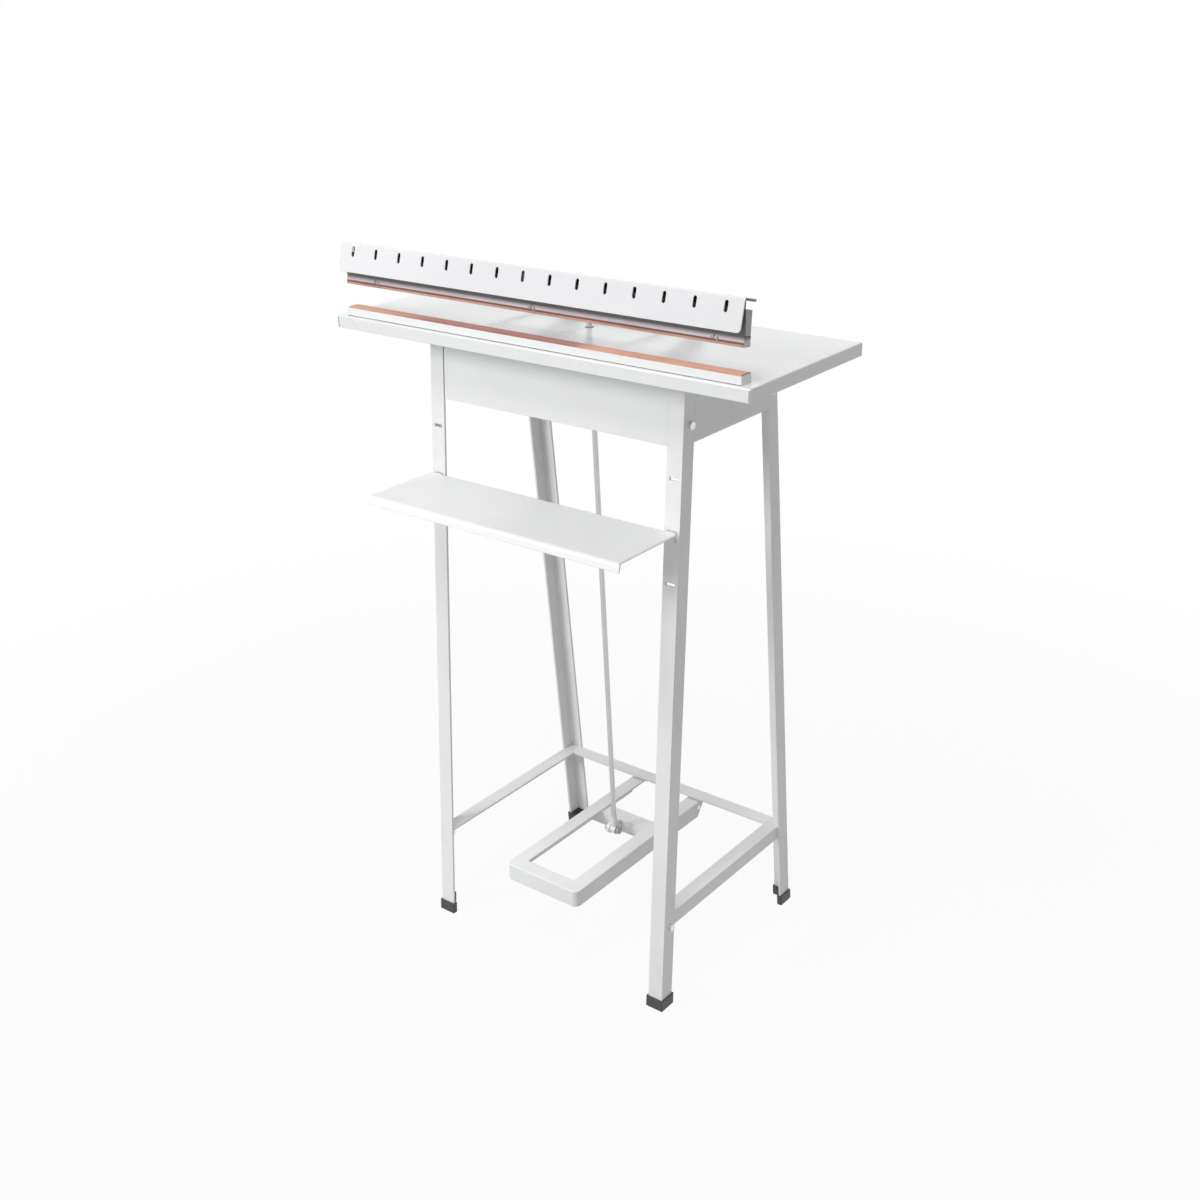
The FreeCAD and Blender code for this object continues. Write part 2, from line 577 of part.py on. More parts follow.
for hand, side in (("left", -1), ("right", 1)):
    apron = new_body(f"{hand}_apron")
    low = "table_height - side_apron_drop"
    front_top = leg_corner("front", "table_under") + " + leg_width + weld_gap"
    front_low = leg_corner("front", low) + " + leg_width + weld_gap"
    rear_top = leg_corner("rear", "table_under") + " - leg_width - weld_gap"
    rear_low = leg_corner("rear", low) + " - leg_width - weld_gap"
    face = ["leg_half_span - apron_sheet", "leg_half_span"]
    back = ["leg_inner - apron_sheet", "leg_inner"]
    if side < 0:
        face = ["-leg_half_span", "apron_sheet - leg_half_span"]
        back = ["-leg_inner", "apron_sheet - leg_inner"]
    web = [back[0], face[1]] if side > 0 else [face[0], back[1]]
    pad_outline(apron, "panel", "YZ_Plane",
                [(front_low, low), (rear_low, low), (rear_top, "table_under"), (front_top, "table_under")],
                face[0], face[1])
    for row, inward, upper, lower in (("front", 1, front_top, front_low), ("rear", -1, rear_top, rear_low)):
        step = f"{inward} * apron_sheet"
        tab = f"{inward} * (0 - apron_tab)"
        pad_outline(apron, f"{row}_joggle", "YZ_Plane",
                    [(lower, low), (f"{lower} + {step}", low), (f"{upper} + {step}", "table_under"),
                     (upper, "table_under")], web[0], web[1])
        pad_outline(apron, f"{row}_tab", "YZ_Plane",
                    [(f"{lower} + {tab}", low), (f"{lower} + {step}", low), (f"{upper} + {step}", "table_under"),
                     (f"{upper} + {tab}", "table_under")], back[0], back[1])
    bores = [(place[1], place[2], "bolt_radius + bolt_play") for place in
             (leg_bolt_places(side, "front")[0], leg_bolt_places(side, "rear")[0])]
    if side < 0:
        knob_place = ("knob_depth", "knob_height_up")
        bores.append((knob_place[0], knob_place[1], "knob_spindle + knob_gap"))
    cut_circles(apron, "holes", "YZ_Plane", bores, web[0] + " - over_cut", web[1] + " + over_cut")
    if side < 0:
        cut_box(apron, "switch_hole", ("-leg_half_span - over_cut", "over_cut - leg_inner"),
                ("switch_depth - switch_length / 2 + switch_bezel",
                 "switch_depth + switch_length / 2 - switch_bezel"),
                ("switch_height_up - switch_width / 2 + switch_bezel",
                 "switch_height_up + switch_width / 2 - switch_bezel"))
    keep(apron, f"{hand}_apron")

# Shelf: a folded sheet that hangs by two hooks in the slits of the front legs

leg_face = leg_corner("front", "slit_middle")
shelf = new_body("shelf")
shelf_low = "shelf_top - shelf_sheet"
rivet_reach = ["hook_reach - rivet_inset", "hook_reach - rivet_inset - rivet_pitch"]
bend_line = "shelf_front + shelf_lip_slope"
outline = [("shelf_front", "shelf_top - shelf_lip"), (bend_line, "shelf_top"), ("shelf_back", "shelf_top"),
           ("shelf_back", "shelf_top - shelf_back_lip"),
           ("shelf_back - shelf_sheet", "shelf_top - shelf_back_lip"),
           ("shelf_back - shelf_sheet", shelf_low), (f"{bend_line} + 4 * shelf_sheet / 3", shelf_low),
           ("shelf_front + shelf_sheet", "shelf_top - shelf_lip - shelf_sheet / 4")]
pad_outline(shelf, "sheet", "YZ_Plane", outline, "-shelf_half_length", "shelf_half_length")
round_edges(shelf, "inner_bend", "shelf_bend - shelf_sheet",
            lambda a, b: near(a.z, b.z) and near(a.z, number(shelf_low)) and a.y < number(bend_line) + 4)
round_edges(shelf, "front_bend", "shelf_bend",
            lambda a, b: near(a.z, b.z) and near(a.z, number("shelf_top")) and near(a.y, number(bend_line)))
keep(shelf, "shelf")

hooks = []
rivets = []
for hand, side in (("left", -1), ("right", 1)):
    hook = new_body(f"{hand}_shelf_hook")
    heel = leg_corner("front", f"({shelf_low} - hook_thick)") + " - hook_play"
    heel_foot = leg_corner("front", f"({shelf_low} - hook_thick - hook_heel)") + " - hook_play"
    back = f"{leg_face} + leg_thick + hook_slack"
    strip_low = f"{shelf_low} - hook_thick"
    outline = [(f"{leg_face} - hook_reach", shelf_low), (f"{leg_face} - hook_reach", strip_low),
               (f"{heel} - hook_thick", strip_low),
               (f"{heel_foot} - hook_thick", f"{strip_low} - hook_heel"),
               (heel_foot, f"{strip_low} - hook_heel"), (heel, strip_low), (f"{back} + hook_thick", strip_low),
               (f"{back} + hook_thick", f"{shelf_low} + hook_tail"), (back, f"{shelf_low} + hook_tail"),
               (back, shelf_low)]
    pad_outline(hook, "strip", "YZ_Plane", outline, f"{side} * slit_half_span - hook_width / 2",
                f"{side} * slit_half_span + hook_width / 2")
    hooks.append(hook)
    for index, reach in enumerate(rivet_reach):
        rivets.append(headed_pin(f"{hand}_rivet_{index}",
                                 (f"{side} * slit_half_span", f"{leg_face} - ({reach})", strip_low), up_way,
                                 "rivet_radius", "rivet_head", "rivet_radius / 2", "hook_thick + shelf_sheet"))
    cut_circles(hook, "rivet_holes", "XY_Plane",
                [(f"{side} * slit_half_span", f"{leg_face} - ({reach})", "rivet_radius / 2")
                 for reach in rivet_reach], f"{strip_low} - over_cut", f"{shelf_low} + over_cut")
cut_circles(shelf, "rivet_holes", "XY_Plane",
            [(f"{side} * slit_half_span", f"{leg_face} - ({reach})", "rivet_radius / 2")
             for side in (-1, 1) for reach in rivet_reach], f"{shelf_low} - over_cut", "shelf_top + over_cut")
for side in (-1, 1):
    cut_box(shelf, f"hook_notch_{side + 1}",
            (f"{side} * slit_half_span - hook_width / 2 - hook_play",
             f"{side} * slit_half_span + hook_width / 2 + hook_play"),
            ("shelf_back - 2 * shelf_sheet", "shelf_back + over_cut"),
            ("shelf_top - shelf_back_lip - over_cut", shelf_low))
for hook in hooks:
    keep(hook, hook.Label)
keep(group("shelf_rivets", rivets), "shelf_rivets")

# Lower jaw: a grooved bar with a rubber strip under a folded tape

jaw_back = "lower_jaw_front + lower_jaw_depth"
jaw_middle = "lower_jaw_front + lower_jaw_depth / 2"
lower_jaw = new_body("lower_jaw_bar")
pad_box(lower_jaw, "bar", ("-jaw_half", "jaw_half"), ("lower_jaw_front", jaw_back),
        ("table_height", "table_height + lower_jaw_body"))
cut_box(lower_jaw, "groove", ("-pad_half", "pad_half"),
        (f"{jaw_middle} - pad_width / 2", f"{jaw_middle} + pad_width / 2"),
        ("table_height + lower_jaw_body + pad_proud - pad_depth", "table_height + lower_jaw_body + over_cut"))
cut_circles(lower_jaw, "screw_holes", "XY_Plane", [(x, jaw_middle, "screw_radius") for x in jaw_screw_x],
            "table_height - over_cut", "table_height + lower_jaw_body - pad_depth")
keep(lower_jaw, "lower_jaw_bar")

strip = new_body("lower_rubber_strip")
pad_box(strip, "strip", ("-pad_half", "pad_half"),
        (f"{jaw_middle} - pad_width / 2", f"{jaw_middle} + pad_width / 2"),
        ("table_height + lower_jaw_body + pad_proud - pad_depth", "table_height + lower_jaw_body + pad_proud"))
keep(strip, "lower_rubber_strip")

tape = new_body("lower_tape")
body_top = "table_height + lower_jaw_body"
face_height = "table_height + jaw_face"
outline = [("lower_jaw_front", body_top), (f"{jaw_middle} - pad_width / 2", f"{body_top} + pad_proud"),
           (f"{jaw_middle} + pad_width / 2", f"{body_top} + pad_proud"), (jaw_back, body_top),
           (jaw_back, f"{body_top} + tape_thick"), (f"{jaw_middle} + pad_width / 2", face_height),
           (f"{jaw_middle} - pad_width / 2", face_height), ("lower_jaw_front", f"{body_top} + tape_thick")]
pad_outline(tape, "sheet", "YZ_Plane", outline, "tape_inset - jaw_half", "jaw_half - tape_inset")
keep(tape, "lower_tape")

jaw_screws = []
for index, x in enumerate(jaw_screw_x):
    jaw_screws.append(bolt(f"jaw_screw_{index}", (x, jaw_middle, "table_under"), up_way, "2 * screw_radius",
                           "bolt_head_height", "screw_radius", "table_sheet + lower_jaw_body - pad_depth", 0))
keep(group("lower_jaw_screws", jaw_screws), "lower_jaw_screws")

# Heated jaw: aluminium bar with its heater, a sheet channel over it, and a slotted cover in front

bar = new_body("heating_bar")
bar_mid = "bar_y + bar_depth / 2"
tongue = "(bar_y + channel_back) / 2"
profile = [("bar_y", "bar_under"), ("bar_y + bar_depth", "bar_under"), ("bar_y + bar_depth", "bar_top"),
           (f"{tongue} + bar_tongue / 2", "bar_top"), (f"{tongue} + bar_tongue / 2", "bar_top + bar_tongue_rise"),
           (f"{tongue} - bar_tongue / 2", "bar_top + bar_tongue_rise"), (f"{tongue} - bar_tongue / 2", "bar_top"),
           ("bar_y", "bar_top")]
pad_outline(bar, "section", "YZ_Plane", profile, "-jaw_half", "jaw_half")
cut_circles(bar, "heater_bore", "YZ_Plane", [(bar_mid, "bar_under + heater_rise", "heater_radius")],
            "-jaw_half - over_cut", "heater_half")
bar_screw_x = ["-jaw_half * 5 / 6", "jaw_half / 60", "jaw_half * 13 / 15"]
bar_screw_z = "bar_under + bar_face * 0.6"
cut_circles(bar, "screw_holes", "XZ_Plane", [(x, bar_screw_z, "screw_radius / 2") for x in bar_screw_x],
            "bar_y - over_cut", "bar_y + bar_screw_depth")
keep_on_jaw(bar, "heating_bar")

heater = new_body("cartridge_heater")
pad_circle(heater, "rod", "YZ_Plane", bar_mid, "bar_under + heater_rise", "heater_radius", "-heater_half",
           "heater_half")
round_edges(heater, "ends", "heater_radius / 8", lambda a, b: near(a.x, b.x) and near(a.z, b.z))
keep_on_jaw(heater, "cartridge_heater")

upper_tape = new_body("upper_tape")
skin = "upper_tape_thick"
outline = [("bar_y", "bar_under + upper_tape_fold"), (f"bar_y - {skin}", "bar_under + upper_tape_fold"),
           (f"bar_y - {skin}", f"bar_under - {skin}"), (f"bar_y + bar_depth + {skin}", f"bar_under - {skin}"),
           (f"bar_y + bar_depth + {skin}", "bar_under + upper_tape_fold"),
           ("bar_y + bar_depth", "bar_under + upper_tape_fold"), ("bar_y + bar_depth", "bar_under"),
           ("bar_y", "bar_under")]
pad_outline(upper_tape, "fold", "YZ_Plane", outline, "-jaw_half", "jaw_half")
keep_on_jaw(upper_tape, "upper_tape")

bar_screws = []
for index, x in enumerate(bar_screw_x):
    bar_screws.append(headed_pin(f"bar_screw_{index}", (x, "bar_y", bar_screw_z), back_way, "screw_radius",
                                 "screw_radius / 2", "screw_radius / 2", "bar_screw_depth"))
screws = group("bar_screws", bar_screws)
keep_on_jaw(screws, "bar_screws")

channel = new_body("heater_channel")
wall = "channel_sheet"
front_low = "bar_y"
front_top = "bar_y - channel_lean"
back_top = "channel_back_top"
outline = [(front_low, "bar_top"), (front_top, "channel_top"), (back_top, "channel_top - channel_drop"),
           ("channel_back", "bar_top"), (f"channel_back - {wall}", "bar_top"),
           (f"{back_top} - {wall}", f"channel_top - channel_drop - {wall}"),
           (f"{front_top} + {wall}", f"channel_top - {wall}"), (f"{front_low} + {wall}", "bar_top")]
pad_outline(channel, "section", "YZ_Plane", outline, "-jaw_half", "jaw_half")
for side, low, high in ((0, f"0 - jaw_half - {wall}", "-jaw_half"), (1, "jaw_half", f"jaw_half + {wall}")):
    pad_outline(channel, f"end_{side}", "YZ_Plane", outline[:4], low, high)
arm_screw_x = "arm_half_span + arm_foot / 2 + arm_thick / 4"
arm_screw_z = ["arm_front_low + arm_screw_inset", "arm_front_top - arm_screw_inset"]
cut_circles(channel, "arm_holes", "XZ_Plane",
            [(f"{side} * ({arm_screw_x})", z, "screw_radius") for side in (-1, 1) for z in arm_screw_z],
            "channel_back - arm_foot_thick", "channel_back + over_cut")
keep_on_jaw(channel, "heater_channel")

# The cover is drawn upright and then leaned forward about the foot of its front sheet

cover = new_body("upper_cover")
cover_wall = "cover_sheet"
outline = [("0", "0"), ("0", "cover_height"), ("cover_flange", "cover_height"),
           ("cover_flange", "cover_height - cover_lip"), (f"cover_flange - {cover_wall}", "cover_height - cover_lip"),
           (f"cover_flange - {cover_wall}", f"cover_height - {cover_wall}"),
           (cover_wall, f"cover_height - {cover_wall}"), (cover_wall, "0")]
pad_outline(cover, "sheet", "YZ_Plane", outline, "-cover_half", "cover_half")
round_edges(cover, "bend", "cover_bend",
            lambda a, b: near(a.y, 0) and near(b.y, 0) and near(a.z, b.z) and a.z > number("cover_height / 2"))
round_edges(cover, "low_corners", "cover_corner", lambda a, b: near(a.x, b.x) and near(a.z, 0) and near(b.z, 0))
slots = new_sketch(cover, "slot", "XZ_Plane", "-over_cut")
draw_slot(slots, "-slot_span", "cover_height - slot_below_top", "slot_width / 2",
          "(slot_length - slot_width) / 2")
first_slot = cut_pocket(cover, slots, "cover_sheet + 2 * over_cut")
slot_row = cover.newObject("PartDesign::LinearPattern", "slot_row")
slot_row.Originals = [first_slot]
slot_row.Direction = (slots, ["H_Axis"])
bind(slot_row, "Length", "2 * slot_span")
bind(slot_row, "Occurrences", "slot_count")
cover.Tip = slot_row
doc.recompute()
foot_y = "jaw_pivot_depth + cover_y * cos(open_angle) + cover_z * sin(open_angle)"
foot_z = "pivot_height - cover_y * sin(open_angle) + cover_z * cos(open_angle)"
keep(cover, "upper_cover", "0", foot_y, foot_z, (-1, 0, 0), "open_angle + cover_lean")

# Brackets between the channel and the cover's front sheet, drawn in the cover's own frame

brackets = []
seat = ("((channel_back_top - cover_y) * sin(cover_lean)"
        " + (channel_top - channel_drop - cover_z) * cos(cover_lean) + bracket_seat_gap)")
for index, step in enumerate((-1, 0, 1)):
    bracket = new_body(f"cover_bracket_{index}")
    middle_x = f"{step} * (cover_half - bracket_inset)"
    back = "cover_flange - 3 * cover_sheet"
    top = "cover_height - cover_sheet"
    outline = [("cover_sheet", top), (back, top), (back, seat), (f"{back} - bracket_foot", seat),
               (f"{back} - bracket_foot", f"{seat} + cover_sheet"),
               (f"{back} - cover_sheet", f"{seat} + cover_sheet"),
               (f"{back} - cover_sheet", f"{top} - cover_sheet"), ("2 * cover_sheet", f"{top} - cover_sheet"),
               ("2 * cover_sheet", "cover_height / 3"), ("cover_sheet", "cover_height / 3")]
    pad_outline(bracket, "angle", "YZ_Plane", outline, f"{middle_x} - bracket_width / 2",
                f"{middle_x} + bracket_width / 2")
    brackets.append(bracket)
keep(group("cover_brackets", brackets), "cover_brackets", "0", foot_y, foot_z, (-1, 0, 0),
     "open_angle + cover_lean")

# Arms that carry the heated jaw, with a foot screwed to the channel and an eye at the pivot

arm_screws = []
for hand, side in (("left", -1), ("right", 1)):
    arm = new_body(f"{hand}_jaw_arm")
    inner = "arm_inner" if side > 0 else "-arm_outer"
    outer = "arm_outer" if side > 0 else "-arm_inner"
    front = "channel_back + arm_gap"
    outline = [(front, "arm_front_low"), ("0", "-arm_eye_radius"), ("0", "arm_eye_radius"),
               (f"{front} - arm_taper", "arm_front_top")]
    pad_outline(arm, "blade", "YZ_Plane", outline, inner, outer)
    pad_circle(arm, "eye", "YZ_Plane", "0", "0", "arm_eye_radius", inner, outer)
    foot = (inner, "arm_inner + arm_foot") if side > 0 else ("-arm_inner - arm_foot", outer)
    outline = [(front, "arm_front_low"), (f"{front} + arm_foot_thick", "arm_front_low"),
               (f"{front} - arm_taper + arm_foot_thick", "arm_front_top"), (f"{front} - arm_taper", "arm_front_top")]
    pad_outline(arm, "foot", "YZ_Plane", outline, foot[0], foot[1])
    cut_circles(arm, "pivot_bore", "YZ_Plane", [("0", "0", "pivot_pin_radius + pivot_play")],
                f"{inner} - over_cut", f"{outer} + over_cut")
    cut_circles(arm, "screw_holes", "XZ_Plane",
                [(f"{side} * ({arm_screw_x})", z, "screw_radius") for z in arm_screw_z],
                f"{front} - arm_foot_thick", f"{front} + arm_foot_thick + over_cut")
    keep_on_jaw(arm, f"{hand}_jaw_arm")
    for index, z in enumerate(arm_screw_z):
        arm_screws.append(bolt(f"{hand}_arm_screw_{index}",
                               (f"{side} * ({arm_screw_x})", f"{front} + arm_foot_thick", z), front_way,
                               "2 * screw_radius", "screw_radius", "screw_radius", "arm_foot_thick + screw_tail"))
keep_on_jaw(group("arm_screws", arm_screws), "arm_screws")

crossbar = new_body("arm_crossbar")
pad_box(crossbar, "flat", ("-arm_inner", "arm_inner"),
        ("-rod_pin_back - crossbar_width / 2", "crossbar_width / 2 - rod_pin_back"),
        ("crossbar_level", "crossbar_level + crossbar_thick"))
keep_on_jaw(crossbar, "arm_crossbar")

clevis = new_body("rod_clevis")
ear_in = "eye_half + clevis_gap"
ear_out = "eye_half + clevis_gap + clevis_plate"
clevis_y = ("-rod_pin_back - clevis_width / 2", "clevis_width / 2 - rod_pin_back")
pad_box(clevis, "bridge", (f"0 - ({ear_out})", ear_out), clevis_y,
        ("crossbar_level - clevis_plate", "crossbar_level"))
for side in (-1, 1):
    low = ear_in if side > 0 else f"0 - ({ear_out})"
    high = ear_out if side > 0 else f"0 - ({ear_in})"
    pad_box(clevis, f"ear_{side + 1}", (low, high), clevis_y, ("rod_pin_level", "crossbar_level - clevis_plate"))
    pad_circle(clevis, f"ear_end_{side + 1}", "YZ_Plane", "-rod_pin_back", "rod_pin_level",
               "clevis_width / 2", low, high)
cut_circles(clevis, "pin_bore", "YZ_Plane", [("-rod_pin_back", "rod_pin_level", "rod_pin_radius")],
            f"0 - ({ear_out}) - over_cut", f"{ear_out} + over_cut")
keep_on_jaw(clevis, "rod_clevis")

rod_pin = headed_pin("rod_top_pin_body", (ear_out, "-rod_pin_back", "rod_pin_level"), left_way,
                     "rod_pin_radius * 1.5", "pin_head_height", "rod_pin_radius", f"2 * ({ear_out}) + pin_tail")
keep_on_jaw(group("rod_top_pin", [rod_pin]), "rod_top_pin")

# Pivot brackets on the table, one at each arm, with a headed pin through both ears

pivot_pins = []
for hand, side in (("left", -1), ("right", 1)):
    bracket = new_body(f"{hand}_pivot_bracket")
    low = "ear_inner" if side > 0 else "-ear_outer"
    high = "ear_outer" if side > 0 else "-ear_inner"
    long_y = ("jaw_pivot_depth - bracket_length / 2", "jaw_pivot_depth + bracket_length / 2")
    pad_box(bracket, "base", (low, high), long_y, ("table_height", "table_height + bracket_plate"))
    for name, first, second in (("near", low, f"{low} + bracket_plate"), ("far", f"{high} - bracket_plate", high)):
        outline = [(long_y[0], "table_height"), (long_y[1], "table_height"),
                   ("jaw_pivot_depth + arm_eye_radius * 0.8", "pivot_height"),
                   ("jaw_pivot_depth - arm_eye_radius * 0.8", "pivot_height")]
        pad_outline(bracket, name + "_ear", "YZ_Plane", outline, first, second)
        pad_circle(bracket, name + "_eye", "YZ_Plane", "jaw_pivot_depth", "pivot_height",
                   "arm_eye_radius * 0.8", first, second)
    cut_circles(bracket, "bore", "YZ_Plane", [("jaw_pivot_depth", "pivot_height", "pivot_pin_radius")],
                f"{low} - over_cut", f"{high} + over_cut")
    keep(bracket, f"{hand}_pivot_bracket")
    way = left_way if side > 0 else right_way
    pivot_pins.append(headed_pin(f"{hand}_pivot_pin", (f"{side} * ear_outer", "jaw_pivot_depth", "pivot_height"),
                                 way, "pin_head_radius", "pin_head_height", "pivot_pin_radius",
                                 "ear_outer - ear_inner + pin_tail"))
keep(group("jaw_pivot_pins", pivot_pins), "jaw_pivot_pins")

# Pull rod with an eye at each end, drawn upright from its foot pin

pull_rod = new_body("pull_rod")
pad_circle(pull_rod, "bar", "XY_Plane", "0", "0", "rod_radius", "eye_neck", "rod_length - eye_neck")
keep_on_rod(pull_rod, "pull_rod")

eyes = []
for name, level, step, bore in (("foot", "0", "1", "foot_pin_radius + pivot_play"),
                                ("top", "rod_length", "-1", "rod_pin_radius + rod_pin_slack")):
    eye = new_body(f"{name}_eye")
    pad_circle(eye, "ring", "YZ_Plane", "0", level, "eye_radius", "-eye_half", "eye_half")
    neck = new_sketch(eye, "neck", "XY_Plane", level if name == "foot" else f"{level} - 2 * eye_neck")
    draw_circle(neck, "0", "0", "neck_radius")
    add_pad(eye, neck, "2 * eye_neck")
    cut_circles(eye, "bore", "YZ_Plane", [("0", level, bore)], "-eye_half - over_cut", "eye_half + over_cut")
    socket = ("eye_neck", "3 * eye_neck") if name == "foot" else (f"{level} - 3 * eye_neck", f"{level} - eye_neck")
    cut_circles(eye, "socket", "XY_Plane", [("0", "0", "rod_radius")], socket[0], socket[1])
    eyes.append(eye)
keep_on_rod(group("rod_eyes", eyes), "rod_eyes")

collar = new_body("spring_collar")
ring = new_sketch(collar, "ring", "XY_Plane", "collar_top_on_rod - collar_height")
draw_circle(ring, "0", "0", "collar_radius")
draw_circle(ring, "0", "0", "rod_radius")
add_pad(collar, ring, "collar_height")
round_edges(collar, "rims", "collar_height / 12",
            lambda a, b: near(a.z, b.z) and near(abs(a.x) + abs(a.y), number("collar_radius")))
keep_on_rod(collar, "spring_collar")

rod_at = "rod_top_y + (rod_top_z - ({0})) * rod_run / rod_drop"
guide = new_body("rod_guide")
guide_y = rod_at.format("spring_mid")
guide_span = (f"{guide_y} - guide_width / 2", f"{guide_y} + guide_width / 2")
pad_box(guide, "strap", ("-guide_half", "guide_half"), guide_span, ("guide_bottom", "strap_top"))
for side, low, high in ((0, "-guide_half", "guide_plate - guide_half"),
                        (1, "guide_half - guide_plate", "guide_half")):
    pad_box(guide, f"leg_{side}", (low, high), guide_span, ("guide_bottom", "table_under"))
    foot = ("-guide_half - guide_foot", high) if side == 0 else (low, "guide_half + guide_foot")
    pad_box(guide, f"foot_{side}", foot, guide_span, ("table_under - guide_plate", "table_under"))
cut_circles(guide, "rod_hole", "XY_Plane", [("0", rod_at.format("guide_bottom"), "guide_hole_radius")],
            "guide_bottom - over_cut", "strap_top + over_cut")
keep(guide, "rod_guide")

spring = new_body("return_spring")
wire = new_sketch(spring, "wire", "XZ_Plane", "0")
draw_circle(wire, "spring_radius", "spring_wire", "spring_wire")
coil = spring.newObject("PartDesign::AdditiveHelix", "coil")
coil.Profile = wire
coil.ReferenceAxis = (wire, ["V_Axis"])
coil.Mode = 1
bind(coil, "Height", "spring_top - strap_top - 2 * spring_wire")
bind(coil, "Turns", "spring_turns")
bind(coil, "Pitch", "(spring_top - strap_top - 2 * spring_wire) / spring_turns")
doc.recompute()
keep(spring, "return_spring", "0", guide_y, "strap_top + pivot_play")

# Pedal: one angle bent round in plan, a crossbar between its sides and a lug for the rod

pedal = new_body("pedal_frame")
pad_box(pedal, "block", ("-pedal_half", "pedal_half"), ("pedal_front", "pedal_rear"),
        ("pedal_bottom", "pedal_top"))
round_edges(pedal, "front_corners", "pedal_corner",
            lambda a, b: near(a.x, b.x) and near(a.y, b.y) and near(a.y, number("pedal_front")))
cut_box(pedal, "opening", ("-pedal_inner", "pedal_inner"), ("pedal_front + pedal_flange", "pedal_rear + over_cut"),
        ("pedal_bottom - over_cut", "pedal_top + over_cut"))
cut_box(pedal, "hollow", ("pedal_thick - pedal_half", "pedal_half - pedal_thick"),
        ("pedal_front + pedal_thick", "pedal_rear + over_cut"),
        ("pedal_bottom - over_cut", "pedal_top - pedal_thick"))
heel = new_sketch(pedal, "end_cut", "YZ_Plane", "-pedal_half - over_cut")
draw_polygon(heel, [("pedal_rear + over_cut", "pedal_bottom - over_cut"),
                    ("pedal_rear + over_cut", "pedal_top - pedal_thick"), ("pedal_rear", "pedal_top - pedal_thick"),
                    ("pedal_rear - pedal_end_cut", "pedal_bottom"),
                    ("pedal_rear - pedal_end_cut", "pedal_bottom - over_cut")])
cut_pocket(pedal, heel, "2 * pedal_half + 2 * over_cut")
cut_circles(pedal, "hinge_bores", "YZ_Plane",
            [("pedal_hinge_depth", "pedal_hinge_height", "hinge_pin_radius + pivot_play")],
            "-pedal_half - over_cut", "pedal_half + over_cut")
round_edges(pedal, "front_bend", "pedal_thick / 2",
            lambda a, b: near(a.z, b.z) and near(a.z, number("pedal_top"))
            and (near(a.y, number("pedal_front")) and near(b.y, number("pedal_front"))
                 or near(abs(a.x), number("pedal_half")) and near(abs(b.x), number("pedal_half"))
                 or abs(a.y - number("pedal_front")) < number("pedal_corner") + 0.1
                 and abs(b.y - number("pedal_front")) < number("pedal_corner") + 0.1
                 and abs(a.x) > number("pedal_half - pedal_corner") - 0.1))
keep(pedal, "pedal_frame")

pedal_bar = new_body("pedal_crossbar")
pad_box(pedal_bar, "flat", ("pedal_thick - pedal_half", "pedal_half - pedal_thick"),
        ("pedal_bar_depth", "pedal_bar_depth + pedal_bar_thick"),
        ("pedal_top - pedal_thick - pedal_bar_height", "pedal_top - pedal_thick"))
keep(pedal_bar, "pedal_crossbar")

lug = new_body("rod_lug")
lug_low = "0 - eye_half - lug_gap - lug_thick"
lug_high = "0 - eye_half - lug_gap"
outline = [("foot_pin_depth", "foot_pin_height - lug_radius"),
           ("pedal_bar_depth", "pedal_top - pedal_thick - pedal_bar_height"),
           ("pedal_bar_depth", "pedal_top - pedal_thick"),
           ("foot_pin_depth", "foot_pin_height + lug_radius")]
pad_outline(lug, "plate", "YZ_Plane", outline, lug_low, lug_high)
pad_circle(lug, "nose", "YZ_Plane", "foot_pin_depth", "foot_pin_height", "lug_radius", lug_low, lug_high)
cut_circles(lug, "bore", "YZ_Plane", [("foot_pin_depth", "foot_pin_height", "foot_pin_radius")],
            f"{lug_low} - over_cut", f"{lug_high} + over_cut")
keep(lug, "rod_lug")

rod_bolt = bolt("rod_foot_bolt_body", (lug_low, "foot_pin_depth", "foot_pin_height"), right_way,
                "bolt_head_radius", "bolt_head_height", "foot_pin_radius",
                "lug_thick + 2 * lug_gap + 2 * eye_half + nut_height + bolt_tail")
keep(group("rod_foot_bolt", [rod_bolt]), "rod_foot_bolt")

nut_blank = turned("rod_nut_blank", "bolt_head_radius", "nut_height", "eye_half + lug_gap", "foot_pin_depth",
                   "foot_pin_height", *right_way, 6)
nut_bore = turned("rod_nut_bore", "foot_pin_radius", "nut_height", "eye_half + lug_gap", "foot_pin_depth",
                  "foot_pin_height", *right_way)
rod_nut = doc.addObject("Part::Cut", "rod_foot_nut_ring")
rod_nut.Base = nut_blank
rod_nut.Tool = nut_bore
keep(group("rod_foot_nut", [rod_nut]), "rod_foot_nut")

